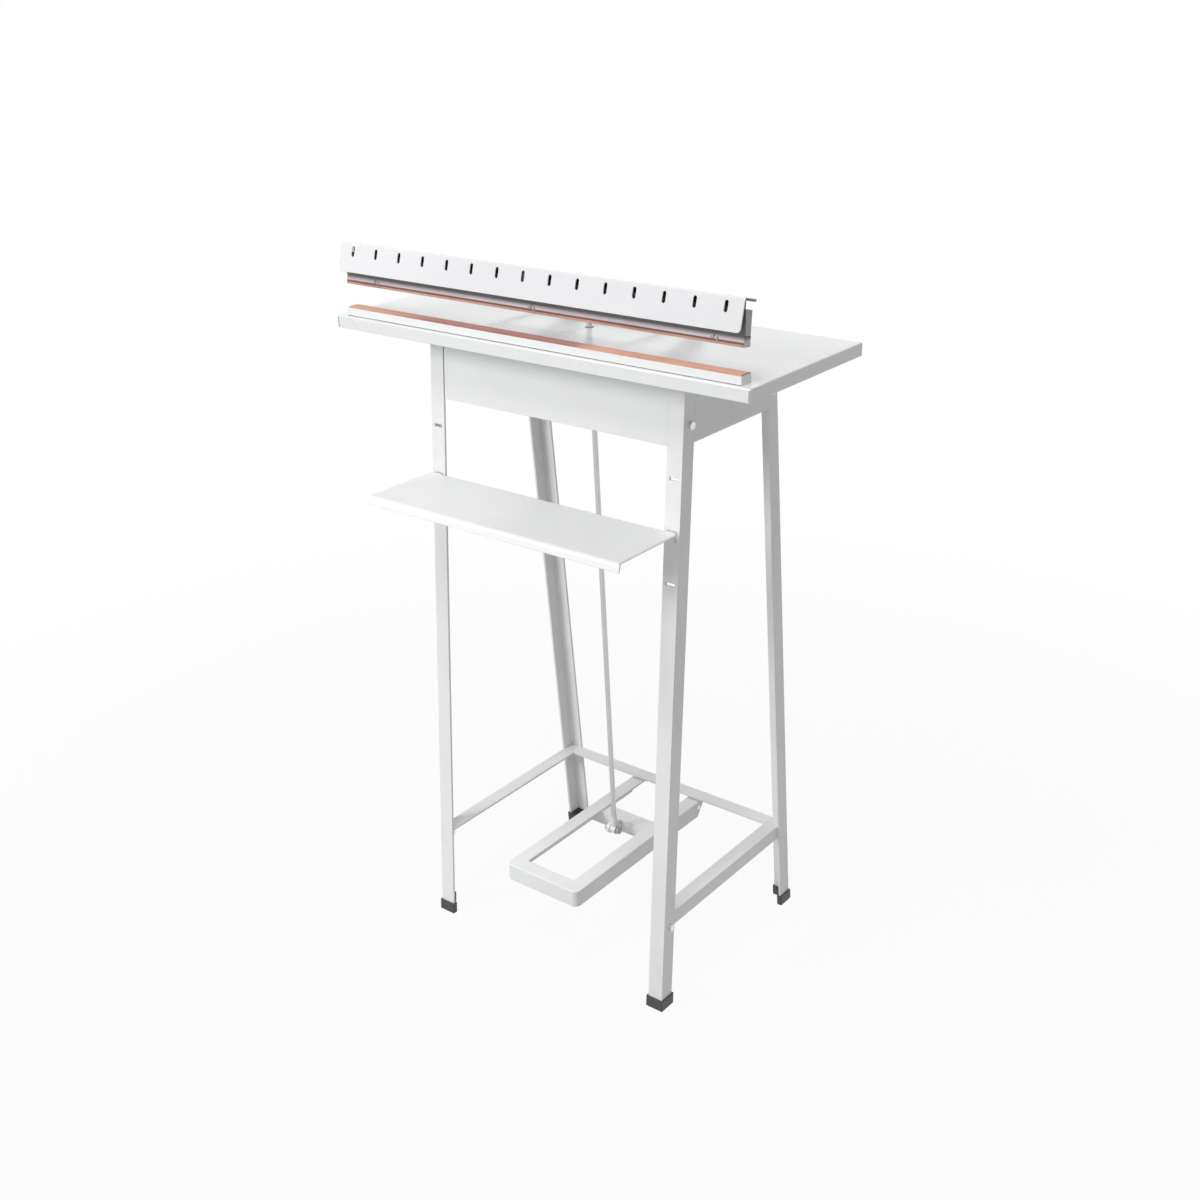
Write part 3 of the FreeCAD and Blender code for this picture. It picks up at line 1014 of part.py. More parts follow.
hinge_pins = []
web_face = f"{frame_back} - stretcher_thick - weld_gap"
for hand, side in (("left", -1), ("right", 1)):
    plate = new_body(f"{hand}_pedal_bracket")
    low = "hinge_plate_in" if side > 0 else "0 - hinge_plate_out"
    high = "hinge_plate_out" if side > 0 else "0 - hinge_plate_in"
    plate_top = "pedal_hinge_height + hinge_plate_radius"
    outline = [("pedal_hinge_depth", "pedal_hinge_height - hinge_plate_radius"),
               (web_face, "side_stretcher_top - rear_stretcher_drop"), (web_face, plate_top),
               ("pedal_hinge_depth", plate_top)]
    pad_outline(plate, "plate", "YZ_Plane", outline, low, high)
    pad_circle(plate, "nose", "YZ_Plane", "pedal_hinge_depth", "pedal_hinge_height", "hinge_plate_radius", low, high)
    foot = ("hinge_plate_in - hinge_foot", high) if side > 0 else (low, "hinge_foot - hinge_plate_in")
    pad_box(plate, "foot", foot, (f"{web_face} - bracket_plate", web_face),
            ("side_stretcher_top - rear_stretcher_drop", plate_top))
    cut_circles(plate, "bore", "YZ_Plane", [("pedal_hinge_depth", "pedal_hinge_height", "hinge_pin_radius")],
                f"{low} - over_cut", f"{high} + over_cut")
    keep(plate, f"{hand}_pedal_bracket")
    way = right_way if side > 0 else left_way
    hinge_pins.append(headed_pin(f"{hand}_hinge_pin",
                                 (f"{side} * hinge_plate_in", "pedal_hinge_depth", "pedal_hinge_height"), way,
                                 "pin_head_radius", "pin_head_height", "hinge_pin_radius",
                                 "bracket_plate + side_play + pedal_thick"))
keep(group("pedal_hinge_pins", hinge_pins), "pedal_hinge_pins")

# Heat regulator, power switch and cord gland on the sides away from the operator's right hand

regulator = new_body("heat_regulator")
inside_x = "-leg_half_span + apron_sheet"
pad_box(regulator, "case", (inside_x, f"{inside_x} + regulator_deep"),
        ("knob_depth - regulator_length / 2", "knob_depth + regulator_length / 2"),
        ("knob_height_up - regulator_height / 2", "knob_height_up + regulator_height / 2"))
round_edges(regulator, "corners", "knob_rim / 2", lambda a, b: near(a.y, b.y) and near(a.z, b.z))
pad_circle(regulator, "spindle", "YZ_Plane", "knob_depth", "knob_height_up", "knob_spindle",
           "-leg_half_span - knob_height * 0.6", f"{inside_x} + over_cut")
keep(regulator, "heat_regulator")

knob = new_body("heat_knob")
turning = new_sketch(knob, "turning", "XY_Plane", "0")
draw_polygon(turning, [("0 - knob_gap", "0 - knob_radius"), ("0 - knob_gap - knob_rim", "0 - knob_radius"),
                       ("0 - knob_height", "knob_rim - knob_radius"), ("0 - knob_height", "0"),
                       ("0 - knob_gap", "0")])
turned_knob = knob.newObject("PartDesign::Revolution", "knob_turned")
turned_knob.Profile = turning
turned_knob.ReferenceAxis = (turning, ["H_Axis"])
turned_knob.Angle = 360
doc.recompute()
pad_box(knob, "pointer", ("0 - knob_height - pointer_rise", "0 - knob_gap - knob_rim"),
        ("0 - pointer_width / 2", "pointer_width / 2"), ("knob_rim", "knob_radius"))
cut_circles(knob, "spindle_bore", "YZ_Plane", [("0", "0", "knob_spindle + pivot_play")],
            "0 - knob_height * 0.6 - spindle_gap", "over_cut")
keep(knob, "heat_knob", "-leg_half_span", "knob_depth", "knob_height_up")

switch = new_body("switch_body")
pad_box(switch, "bezel", ("-leg_half_span - switch_bezel", "-leg_half_span"),
        ("switch_depth - switch_length / 2", "switch_depth + switch_length / 2"),
        ("switch_height_up - switch_width / 2", "switch_height_up + switch_width / 2"))
round_edges(switch, "bezel_edges", "switch_bezel / 3",
            lambda a, b: near(a.x, b.x) and near(a.x, number("-leg_half_span - switch_bezel")))
pad_box(switch, "case", ("-leg_half_span - switch_bezel / 2", "switch_deep - leg_half_span"),
        ("switch_depth - switch_length / 2 + switch_bezel", "switch_depth + switch_length / 2 - switch_bezel"),
        ("switch_height_up - switch_width / 2 + switch_bezel", "switch_height_up + switch_width / 2 - switch_bezel"))
cut_box(switch, "well", ("-leg_half_span - switch_bezel - over_cut", "-leg_half_span + switch_deep / 2"),
        ("switch_depth - switch_open_length / 2", "switch_depth + switch_open_length / 2"),
        ("switch_height_up - switch_open_width / 2", "switch_height_up + switch_open_width / 2"))
cut_circles(switch, "pin_bores", "XY_Plane",
            [("rocker_axis - leg_half_span", "switch_depth", "rocker_pin_radius + pivot_play")],
            "switch_height_up - switch_open_width / 2 - rocker_pin_tail",
            "switch_height_up + switch_open_width / 2 + rocker_pin_tail")
keep(switch, "switch_body")

rocker = new_body("switch_rocker")
half = "switch_open_width / 2 - rocker_play"
outline = [("-rocker_crown", "-rocker_half"), ("-rocker_dip", "0"), ("-rocker_crown", "rocker_half"),
           ("-rocker_crown / 4", "rocker_half"), ("rocker_deep", "rocker_deep_half"),
           ("rocker_deep", "-rocker_deep_half"), ("-rocker_crown / 4", "-rocker_half")]
pad_outline(rocker, "rocker", "XY_Plane", outline, f"0 - ({half})", half)
pad_circle(rocker, "pin", "XY_Plane", "0", "0", "rocker_pin_radius", f"0 - ({half}) - rocker_pin_tail",
           f"{half} + rocker_pin_tail")
keep(rocker, "switch_rocker", "rocker_axis - leg_half_span", "switch_depth", "switch_height_up",
     (0, 0, 1), "rocker_tilt")

gland = new_body("cord_gland")
gland_face = f"({leg_corner('rear', 'gland_height_up')} + gland_offset)"
turning = new_sketch(gland, "turning", "XY_Plane", "0")
draw_polygon(turning, [("gland_bore", "-gland_inside"), ("gland_radius - gland_thread", "-gland_inside"),
                       ("gland_radius - gland_thread", "2 * gland_offset"), ("gland_radius", "2 * gland_offset"),
                       ("gland_radius", "gland_hex"), ("gland_radius - gland_neck", "gland_hex + gland_neck"),
                       ("gland_radius - gland_neck", "gland_out - gland_cone"),
                       ("gland_bore + gland_neck", "gland_out"), ("gland_bore", "gland_out")])
gland_turned = gland.newObject("PartDesign::Revolution", "gland_turned")
gland_turned.Profile = turning
gland_turned.ReferenceAxis = (turning, ["V_Axis"])
gland_turned.Angle = 360
doc.recompute()
keep(gland, "cord_gland", "-gland_half_span", gland_face, "gland_height_up")

doc.recompute()
for item in doc.Objects:
    if "Invalid" in item.State or "Error" in item.State:
        raise ValueError(f"{item.Label} failed: {item.State}")
for item in nodes:
    if item.Shape.isNull() or not item.Shape.isValid():
        raise ValueError(f"{item.Label} has no valid shape")

os.makedirs("parts", exist_ok=True)
for item in nodes:
    item.Shape.exportStep(f"parts/{item.Label}.step")
print(len(nodes), "pieces written")
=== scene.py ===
import math

import bmesh
import bpy
from mathutils import Matrix, Vector


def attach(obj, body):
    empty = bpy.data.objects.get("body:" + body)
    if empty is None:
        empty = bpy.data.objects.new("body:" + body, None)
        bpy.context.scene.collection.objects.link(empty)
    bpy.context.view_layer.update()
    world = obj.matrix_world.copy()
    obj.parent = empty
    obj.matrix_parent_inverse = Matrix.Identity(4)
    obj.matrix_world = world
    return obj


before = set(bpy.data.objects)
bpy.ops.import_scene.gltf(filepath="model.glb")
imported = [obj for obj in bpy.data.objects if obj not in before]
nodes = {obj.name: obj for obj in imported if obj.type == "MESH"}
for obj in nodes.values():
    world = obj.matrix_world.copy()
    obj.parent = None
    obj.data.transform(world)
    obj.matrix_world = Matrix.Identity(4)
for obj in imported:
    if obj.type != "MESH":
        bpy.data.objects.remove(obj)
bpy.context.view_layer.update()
mm = 0.001

# Camera, at the photograph's angle. The target sits above the floor, in the middle of the machine.

cameraSet = {
    "azimuth": 38.31,
    "elevation": 23.63,
    "roll": -1.2,
    "distance": 2.0438,
    "focal": 45.595,
    "target": Vector((-0.0098, 0.0290, 0.4879)),
    "sensor": 36,
    "near": 0.05,
    "far": 50,
}


def placeCamera(settings):
    azimuth = math.radians(settings["azimuth"])
    elevation = math.radians(settings["elevation"])
    roll = math.radians(settings["roll"])
    back = Vector((math.sin(azimuth) * math.cos(elevation), -math.cos(azimuth) * math.cos(elevation),
                   math.sin(elevation)))
    right = Vector((math.cos(azimuth), math.sin(azimuth), 0))
    up = back.cross(right)
    across = right * math.cos(roll) + up * math.sin(roll)
    upward = up * math.cos(roll) - right * math.sin(roll)
    data = bpy.data.cameras.new("photoCamera")
    data.lens = settings["focal"]
    data.sensor_width = settings["sensor"]
    data.clip_start = settings["near"]
    data.clip_end = settings["far"]
    camera = bpy.data.objects.new("photoCamera", data)
    bpy.context.scene.collection.objects.link(camera)
    turn = Matrix((across, upward, back)).transposed().to_4x4()
    camera.matrix_world = Matrix.Translation(settings["target"] + back * settings["distance"]) @ turn
    bpy.context.scene.camera = camera


placeCamera(cameraSet)
print("camera placed")

# Studio: a white surround, a soft key from the front left, a small lamp behind that draws the shadow
# of the arms on the table, and a floor that fades to white away from the machine

studioSet = {
    "floorRadius": 14.0,
    "floorSides": 64,
    "floorDrop": 0.4 * mm,
    "floorColor": (0.58, 0.58, 0.58, 1),
    "floorRoughness": 0.9,
    "floorGloss": 0.1,
    "whiteFrom": 0.7,  # metres from the middle
    "whiteTo": 2.0,
    "whiteNear": 0.93,  # share of plain white near the machine
    "ambient": 0.36,
    "lamps": {
        "keyLamp": {"place": Vector((-1.6, -2.7, 2.2)), "size": 1.5, "power": 61},
        "topLamp": {"place": Vector((0.1, -1.3, 3.4)), "size": 1.4, "power": 35},
        "backLamp": {"place": Vector((0.31, 1.82, 2.69)), "size": 0.34, "power": 12},
    },
    "aim": Vector((0, 0, 0.75)),
}


def addLamp(name, place, aim, size, power):
    data = bpy.data.lights.new(name, "AREA")
    data.shape = "DISK"
    data.size = size
    data.energy = power
    lamp = bpy.data.objects.new(name, data)
    bpy.context.scene.collection.objects.link(lamp)
    lamp.location = place
    lamp.rotation_euler = (aim - place).to_track_quat("-Z", "Y").to_euler()


def seenDirectly(tree, links):
    # one for the rays that show a surface by itself or in a reflection, nought for those that light others
    path = tree.new("ShaderNodeLightPath")
    value = path.outputs["Is Camera Ray"]
    for label in ("Is Glossy Ray", "Is Transmission Ray"):
        either = tree.new("ShaderNodeMath")
        either.operation = "MAXIMUM"
        links.new(value, either.inputs[0])
        links.new(path.outputs[label], either.inputs[1])
        value = either.outputs[0]
    return value


def buildWorld(ambient):
    world = bpy.data.worlds.new("studioWorld")
    bpy.context.scene.world = world
    world.use_nodes = True
    links = world.node_tree.links
    tree = world.node_tree.nodes
    tree.clear()
    output = tree.new("ShaderNodeOutputWorld")
    strength = tree.new("ShaderNodeMix")
    strength.data_type = "FLOAT"
    strength.inputs["A"].default_value = ambient
    strength.inputs["B"].default_value = 1.0
    links.new(seenDirectly(tree, links), strength.inputs["Factor"])
    background = tree.new("ShaderNodeBackground")
    background.inputs["Color"].default_value = (1, 1, 1, 1)
    links.new(strength.outputs["Result"], background.inputs["Strength"])
    links.new(background.outputs[0], output.inputs["Surface"])


def buildFloor(settings):
    mesh = bpy.data.meshes.new("studioFloor")
    shape = bmesh.new()
    bmesh.ops.create_circle(shape, cap_ends=True, segments=settings["floorSides"],
                            radius=settings["floorRadius"])
    shape.to_mesh(mesh)
    shape.free()
    floor = bpy.data.objects.new("studioFloor", mesh)
    bpy.context.scene.collection.objects.link(floor)
    floor.location.z = -settings["floorDrop"]
    material = bpy.data.materials.new("paleFloor")
    material.use_nodes = True
    tree = material.node_tree.nodes
    links = material.node_tree.links
    shader = tree["Principled BSDF"]
    shader.inputs["Base Color"].default_value = settings["floorColor"]
    shader.inputs["Roughness"].default_value = settings["floorRoughness"]
    shader.inputs["Specular IOR Level"].default_value = settings["floorGloss"]
    white = tree.new("ShaderNodeEmission")
    white.inputs["Strength"].default_value = 1.0
    reach = tree.new("ShaderNodeVectorMath")
    reach.operation = "LENGTH"
    links.new(tree.new("ShaderNodeTexCoord").outputs["Object"], reach.inputs[0])
    fade = tree.new("ShaderNodeMapRange")
    fade.interpolation_type = "SMOOTHSTEP"
    fade.inputs["From Min"].default_value = settings["whiteFrom"]
    fade.inputs["From Max"].default_value = settings["whiteTo"]
    fade.inputs["To Min"].default_value = settings["whiteNear"]
    links.new(reach.outputs["Value"], fade.inputs["Value"])
    share = tree.new("ShaderNodeMath")
    share.operation = "MULTIPLY"
    links.new(seenDirectly(tree, links), share.inputs[0])
    links.new(fade.outputs["Result"], share.inputs[1])
    mix = tree.new("ShaderNodeMixShader")
    links.new(share.outputs[0], mix.inputs[0])
    links.new(shader.outputs[0], mix.inputs[1])
    links.new(white.outputs[0], mix.inputs[2])
    links.new(mix.outputs[0], tree["Material Output"].inputs["Surface"])
    mesh.materials.append(material)


buildWorld(studioSet["ambient"])
buildFloor(studioSet)
for name, lamp in studioSet["lamps"].items():
    addLamp(name, lamp["place"], studioSet["aim"], lamp["size"], lamp["power"])
print("studio lit")

# The heated jaw is drawn level about its pivot and rests tipped up by its opening angle

jaw = {
    "pivot": Vector((0, 97.51, 889.2)) * mm,
    "open": math.radians(8),
    "barUnder": -11.8 * mm,  # the bar's underside, from the pivot's height
    "barFace": 11.6 * mm,  # the height of its front face
}
tipUp = Matrix.Translation(jaw["pivot"]) @ Matrix.Rotation(-jaw["open"], 4, "X")

# Shared effects, each a node group that puts out colours, masks, values or normals


def newGroup(name, inputs, outputs):
    group = bpy.data.node_groups.new(name, "ShaderNodeTree")
    for label, kind, value in inputs:
        socket = group.interface.new_socket(label, in_out="INPUT", socket_type=kind)
        socket.default_value = value
    for label, kind in outputs:
        group.interface.new_socket(label, in_out="OUTPUT", socket_type=kind)
    start = group.nodes.new("NodeGroupInput")
    end = group.nodes.new("NodeGroupOutput")
    return group, start, end


def addNoise(tree, vector, scale, detail=3, roughness=0.55):
    noise = tree.nodes.new("ShaderNodeTexNoise")
    noise.inputs["Detail"].default_value = detail
    noise.inputs["Roughness"].default_value = roughness
    if isinstance(scale, (int, float)):
        noise.inputs["Scale"].default_value = scale
    else:
        tree.links.new(scale, noise.inputs["Scale"])
    tree.links.new(vector, noise.inputs["Vector"])
    return noise.outputs["Fac"]


def addRange(tree, value, low, high, toLow, toHigh, smooth=False):
    step = tree.nodes.new("ShaderNodeMapRange")
    step.interpolation_type = "SMOOTHSTEP" if smooth else "LINEAR"
    step.inputs["From Min"].default_value = low
    step.inputs["From Max"].default_value = high
    for socket, amount in (("To Min", toLow), ("To Max", toHigh)):
        if isinstance(amount, (int, float)):
            step.inputs[socket].default_value = amount
        else:
            tree.links.new(amount, step.inputs[socket])
    tree.links.new(value, step.inputs["Value"])
    return step.outputs["Result"]


def addMath(tree, operation, first, second=None, clamp=False):
    step = tree.nodes.new("ShaderNodeMath")
    step.operation = operation
    step.use_clamp = clamp
    for index, value in enumerate((first, second)):
        if value is None:
            continue
        if isinstance(value, (int, float)):
            step.inputs[index].default_value = value
        else:
            tree.links.new(value, step.inputs[index])
    return step.outputs[0]


def addMix(tree, factor, first, second, blend="MIX"):
    mix = tree.nodes.new("ShaderNodeMix")
    mix.data_type = "RGBA"
    mix.blend_type = blend
    for socket, value in (("Factor", factor), ("A", first), ("B", second)):
        target = [s for s in mix.inputs if s.name == socket and s.enabled][0]
        if isinstance(value, (int, float, tuple)):
            target.default_value = value
        else:
            tree.links.new(value, target)
    return [s for s in mix.outputs if s.enabled][0]


def objectVector(tree):
    return tree.nodes.new("ShaderNodeTexCoord").outputs["Object"]


surfaceOutputs = [("Color", "NodeSocketColor"), ("Roughness", "NodeSocketFloat"),
                  ("Height", "NodeSocketFloat")]

edgeLook = {
    "samples": 6,
    "bend": (0.995, 0.85),  # how far the rounded normal has to lean before an edge counts
    "patchRange": (0.52, 0.68),
    "patchDetail": 4,
    "patchRoughness": 0.65,
}


def buildEdgeGroup():
    # an edge's rounded normal set against the flat one gives a mask of worn edges
    group, start, end = newGroup("softEdge", [("Radius", "NodeSocketFloat", 0.0008),
                                              ("Breakup", "NodeSocketFloat", 60.0)],
                                 [("Normal", "NodeSocketVector"), ("Wear", "NodeSocketFloat")])
    bevel = group.nodes.new("ShaderNodeBevel")
    bevel.samples = edgeLook["samples"]
    group.links.new(start.outputs["Radius"], bevel.inputs["Radius"])
    flat = group.nodes.new("ShaderNodeNewGeometry")
    dot = group.nodes.new("ShaderNodeVectorMath")
    dot.operation = "DOT_PRODUCT"
    group.links.new(bevel.outputs["Normal"], dot.inputs[0])
    group.links.new(flat.outputs["Normal"], dot.inputs[1])
    edge = addRange(group, dot.outputs["Value"], *edgeLook["bend"], 0.0, 1.0, True)
    patches = addNoise(group, objectVector(group), start.outputs["Breakup"], edgeLook["patchDetail"],
                       edgeLook["patchRoughness"])
    broken = addRange(group, patches, *edgeLook["patchRange"], 0.0, 1.0, True)
    group.links.new(bevel.outputs["Normal"], end.inputs["Normal"])
    group.links.new(addMath(group, "MULTIPLY", edge, broken), end.inputs["Wear"])
    return group


coatLook = {
    "cloudScale": 5.0,
    "cloudRange": (0.35, 0.75),
    "speckScale": 900.0,
    "speckRange": (0.66, 0.74),
    "speckShare": 0.18,
    "speckColor": (0.45, 0.46, 0.47, 1),
    "dustScale": 9.0,
    "dustRange": (0.4, 0.7),
    "dustLeast": 0.2,
    "dustSlope": (0.55, 1.0),  # dust lies on faces that look up
    "dustColor": (0.80, 0.79, 0.76, 1),
    "dustRoughness": 0.5,
    "sheenScale": 14.0,
    "sheenRange": (0.3, 0.7),
    "sheenShift": (-0.05, 0.08),
    "peelScale": 420.0,
    "wornShare": 0.35,
    "wornColor": (0.55, 0.55, 0.54, 1),
}


def buildCoatGroup():
    # powder coat: faint cloudy tone, fine orange peel, and dust where a face looks up
    group, start, end = newGroup("powderCoat", [("Color", "NodeSocketColor", (0.8, 0.8, 0.8, 1)),
                                                ("Shade", "NodeSocketColor", (0.7, 0.7, 0.7, 1)),
                                                ("Dust", "NodeSocketFloat", 0.15),
                                                ("Roughness", "NodeSocketFloat", 0.35)],
                                 surfaceOutputs)
    vector = objectVector(group)
    clouds = addNoise(group, vector, coatLook["cloudScale"], 4)
    cloudy = addRange(group, clouds, *coatLook["cloudRange"], 0.0, 1.0, True)
    tone = addMix(group, cloudy, start.outputs["Color"], start.outputs["Shade"])
    specks = addNoise(group, vector, coatLook["speckScale"], 2, 0.6)
    speckled = addRange(group, specks, *coatLook["speckRange"], 0.0, coatLook["speckShare"], True)
    tone = addMix(group, speckled, tone, coatLook["speckColor"])
    face = group.nodes.new("ShaderNodeNewGeometry")
    split = group.nodes.new("ShaderNodeSeparateXYZ")
    group.links.new(face.outputs["Normal"], split.inputs[0])
    up = addRange(group, split.outputs["Z"], *coatLook["dustSlope"], 0.0, 1.0)
    drift = addRange(group, addNoise(group, vector, coatLook["dustScale"], 5, 0.6),
                     *coatLook["dustRange"], coatLook["dustLeast"], 1.0)
    dusty = addMath(group, "MULTIPLY", addMath(group, "MULTIPLY", up, drift), start.outputs["Dust"])
    group.links.new(addMix(group, dusty, tone, coatLook["dustColor"]), end.inputs["Color"])
    sheen = addRange(group, addNoise(group, vector, coatLook["sheenScale"], 4),
                     *coatLook["sheenRange"], *coatLook["sheenShift"])
    rough = addMath(group, "ADD", start.outputs["Roughness"], sheen)
    dull = addMath(group, "MULTIPLY", dusty, coatLook["dustRoughness"])
    group.links.new(addMath(group, "ADD", rough, dull), end.inputs["Roughness"])
    group.links.new(addNoise(group, vector, coatLook["peelScale"], 2, 0.5), end.inputs["Height"])
    return group


grainLook = {
    "streakScale": 14.0,
    "streakRange": (0.3, 0.7),
    "streakShift": (-0.08, 0.12),
    "stainScale": 22.0,
    "stainRange": (0.55, 0.8),
    "stainShare": 0.5,
}


def buildGrainGroup():
    # drawn or brushed metal: streaks along one axis, with light scratches
    group, start, end = newGroup("drawnGrain", [("Stretch", "NodeSocketVector", (1.0, 60.0, 60.0)),
                                                ("Color", "NodeSocketColor", (0.6, 0.6, 0.6, 1)),
                                                ("Shade", "NodeSocketColor", (0.4, 0.4, 0.4, 1)),
                                                ("Roughness", "NodeSocketFloat", 0.3)],
                                 surfaceOutputs)
    vector = objectVector(group)
    stretch = group.nodes.new("ShaderNodeVectorMath")
    stretch.operation = "MULTIPLY"
    group.links.new(vector, stretch.inputs[0])
    group.links.new(start.outputs["Stretch"], stretch.inputs[1])
    streaks = addNoise(group, stretch.outputs["Vector"], grainLook["streakScale"], 5, 0.7)
    stains = addNoise(group, vector, grainLook["stainScale"], 4, 0.6)
    streaky = addRange(group, streaks, *grainLook["streakRange"], 0.0, 1.0)
    tone = addMix(group, streaky, start.outputs["Color"], start.outputs["Shade"])
    stained = addRange(group, stains, *grainLook["stainRange"], 0.0, grainLook["stainShare"], True)
    group.links.new(addMix(group, stained, tone, start.outputs["Shade"]), end.inputs["Color"])
    spread = addRange(group, streaks, *grainLook["streakRange"], *grainLook["streakShift"])
    group.links.new(addMath(group, "ADD", start.outputs["Roughness"], spread), end.inputs["Roughness"])
    group.links.new(streaks, end.inputs["Height"])
    return group


weaveLook = {
    "markScale": 16.0,
    "markRange": (0.38, 0.7),
    "threadShare": 0.18,
    "threadColor": (0.86, 0.66, 0.55, 1),
    "sheenRange": (0.3, 0.7),
    "roughness": (0.38, 0.55),
    "wrinkleScale": 45.0,
    "wrinkleHeight": 6.0,
}


def buildWeaveGroup():
    # glass cloth under a coat: crossed threads, with heat marks along the strip
    group, start, end = newGroup("tapeWeave", [("Color", "NodeSocketColor", (0.6, 0.4, 0.3, 1)),
                                               ("Shade", "NodeSocketColor", (0.4, 0.25, 0.2, 1)),
                                               ("Threads", "NodeSocketFloat", 7500.0)],
                                 surfaceOutputs)
    vector = objectVector(group)
    split = group.nodes.new("ShaderNodeSeparateXYZ")
    group.links.new(vector, split.inputs[0])
    threads = start.outputs["Threads"]
    along = addMath(group, "SINE", addMath(group, "MULTIPLY", split.outputs["X"], threads))
    depth = addMath(group, "ADD", split.outputs["Y"], split.outputs["Z"])
    across = addMath(group, "SINE", addMath(group, "MULTIPLY", depth, threads))
    weave = addRange(group, addMath(group, "MULTIPLY", along, across), -1.0, 1.0, 0.0, 1.0)
    marks = addNoise(group, vector, weaveLook["markScale"], 5, 0.6)
    marked = addRange(group, marks, *weaveLook["markRange"], 0.0, 1.0, True)
    tone = addMix(group, marked, start.outputs["Color"], start.outputs["Shade"])
    woven = addMath(group, "MULTIPLY", weave, weaveLook["threadShare"])
    group.links.new(addMix(group, woven, tone, weaveLook["threadColor"]), end.inputs["Color"])
    rough = addRange(group, marks, *weaveLook["sheenRange"], *weaveLook["roughness"])
    group.links.new(rough, end.inputs["Roughness"])
    wrinkles = addMath(group, "MULTIPLY", addNoise(group, vector, weaveLook["wrinkleScale"], 2),
                       weaveLook["wrinkleHeight"])
    group.links.new(addMath(group, "ADD", weave, wrinkles), end.inputs["Height"])
    return group


def buildTipGroup():
    # height above the jaw's pivot, measured square to the jaw as it rests
    group, start, end = newGroup("jawHeight", [("Low", "NodeSocketFloat", 0.0),
                                               ("High", "NodeSocketFloat", 0.01)],
                                 [("Share", "NodeSocketFloat")])
    place = group.nodes.new("ShaderNodeVectorMath")
    place.operation = "SUBTRACT"
    group.links.new(objectVector(group), place.inputs[0])
    place.inputs[1].default_value = jaw["pivot"]
    rise = group.nodes.new("ShaderNodeVectorMath")
    rise.operation = "DOT_PRODUCT"
    group.links.new(place.outputs["Vector"], rise.inputs[0])
    rise.inputs[1].default_value = (0, math.sin(jaw["open"]), math.cos(jaw["open"]))
    above = addMath(group, "SUBTRACT", rise.outputs["Value"], start.outputs["Low"])
    span = addMath(group, "SUBTRACT", start.outputs["High"], start.outputs["Low"])
    group.links.new(addMath(group, "DIVIDE", above, span, True), end.inputs["Share"])
    return group


mouldLook = {
    "scuffScale": 70.0,
    "scuffRange": (0.55, 0.75),
    "scuffShare": 0.7,
    "sheenRange": (0.4, 0.7),
    "sheenShift": (-0.06, 0.12),
    "grainScale": 1600.0,
}


def buildMouldGroup():
    # moulded plastic: fine spark grain with scuffs
    group, start, end = newGroup("mouldedGrain", [("Color", "NodeSocketColor", (0.1, 0.1, 0.1, 1)),
                                                  ("Scuff", "NodeSocketColor", (0.2, 0.2, 0.2, 1)),
                                                  ("Roughness", "NodeSocketFloat", 0.5)],
                                 surfaceOutputs)
    vector = objectVector(group)
    scuffs = addNoise(group, vector, mouldLook["scuffScale"], 6, 0.7)
    scuffed = addRange(group, scuffs, *mouldLook["scuffRange"], 0.0, mouldLook["scuffShare"], True)
    tone = addMix(group, scuffed, start.outputs["Color"], start.outputs["Scuff"])
    group.links.new(tone, end.inputs["Color"])
    sheen = addRange(group, scuffs, *mouldLook["sheenRange"], *mouldLook["sheenShift"])
    group.links.new(addMath(group, "ADD", start.outputs["Roughness"], sheen), end.inputs["Roughness"])
    group.links.new(addNoise(group, vector, mouldLook["grainScale"], 2), end.inputs["Height"])
    return group


softEdge = buildEdgeGroup()
powderCoat = buildCoatGroup()
drawnGrain = buildGrainGroup()
tapeWeave = buildWeaveGroup()
mouldedGrain = buildMouldGroup()
jawHeight = buildTipGroup()

# Materials, one short function for each kind of finish

relief = {  # bump strength and height, and the radius that rounds the edges
    "paint": {"strength": 0.12, "height": 0.4 * mm, "edge": 0.9 * mm},
    "metal": {"strength": 0.15, "height": 0.2 * mm, "edge": 0.6 * mm},
    "plastic": {"strength": 0.2, "height": 0.2 * mm, "edge": 0.8 * mm},
    "tape": {"strength": 0.25, "height": 0.25 * mm, "edge": 0.4 * mm},
}
tapeCoat = {"Metallic": 0.0, "Coat Weight": 0.12, "Coat Roughness": 0.3}


def newMaterial(name, effect, values, kind, constants):
    material = bpy.data.materials.new(name)
    material.use_nodes = True
    tree = material.node_tree
    shader = tree.nodes["Principled BSDF"]
    layer = tree.nodes.new("ShaderNodeGroup")
    layer.node_tree = effect
    for label, value in values.items():
        layer.inputs[label].default_value = value
    edge = tree.nodes.new("ShaderNodeGroup")
    edge.node_tree = softEdge
    edge.inputs["Radius"].default_value = relief[kind]["edge"]
    bump = tree.nodes.new("ShaderNodeBump")
    bump.inputs["Strength"].default_value = relief[kind]["strength"]
    bump.inputs["Distance"].default_value = relief[kind]["height"]
    tree.links.new(layer.outputs["Height"], bump.inputs["Height"])
    tree.links.new(edge.outputs["Normal"], bump.inputs["Normal"])
    tree.links.new(bump.outputs["Normal"], shader.inputs["Normal"])
    tree.links.new(layer.outputs["Color"], shader.inputs["Base Color"])
    tree.links.new(layer.outputs["Roughness"], shader.inputs["Roughness"])
    for label, value in constants.items():
        shader.inputs[label].default_value = value
    return material, tree, shader, layer, edge


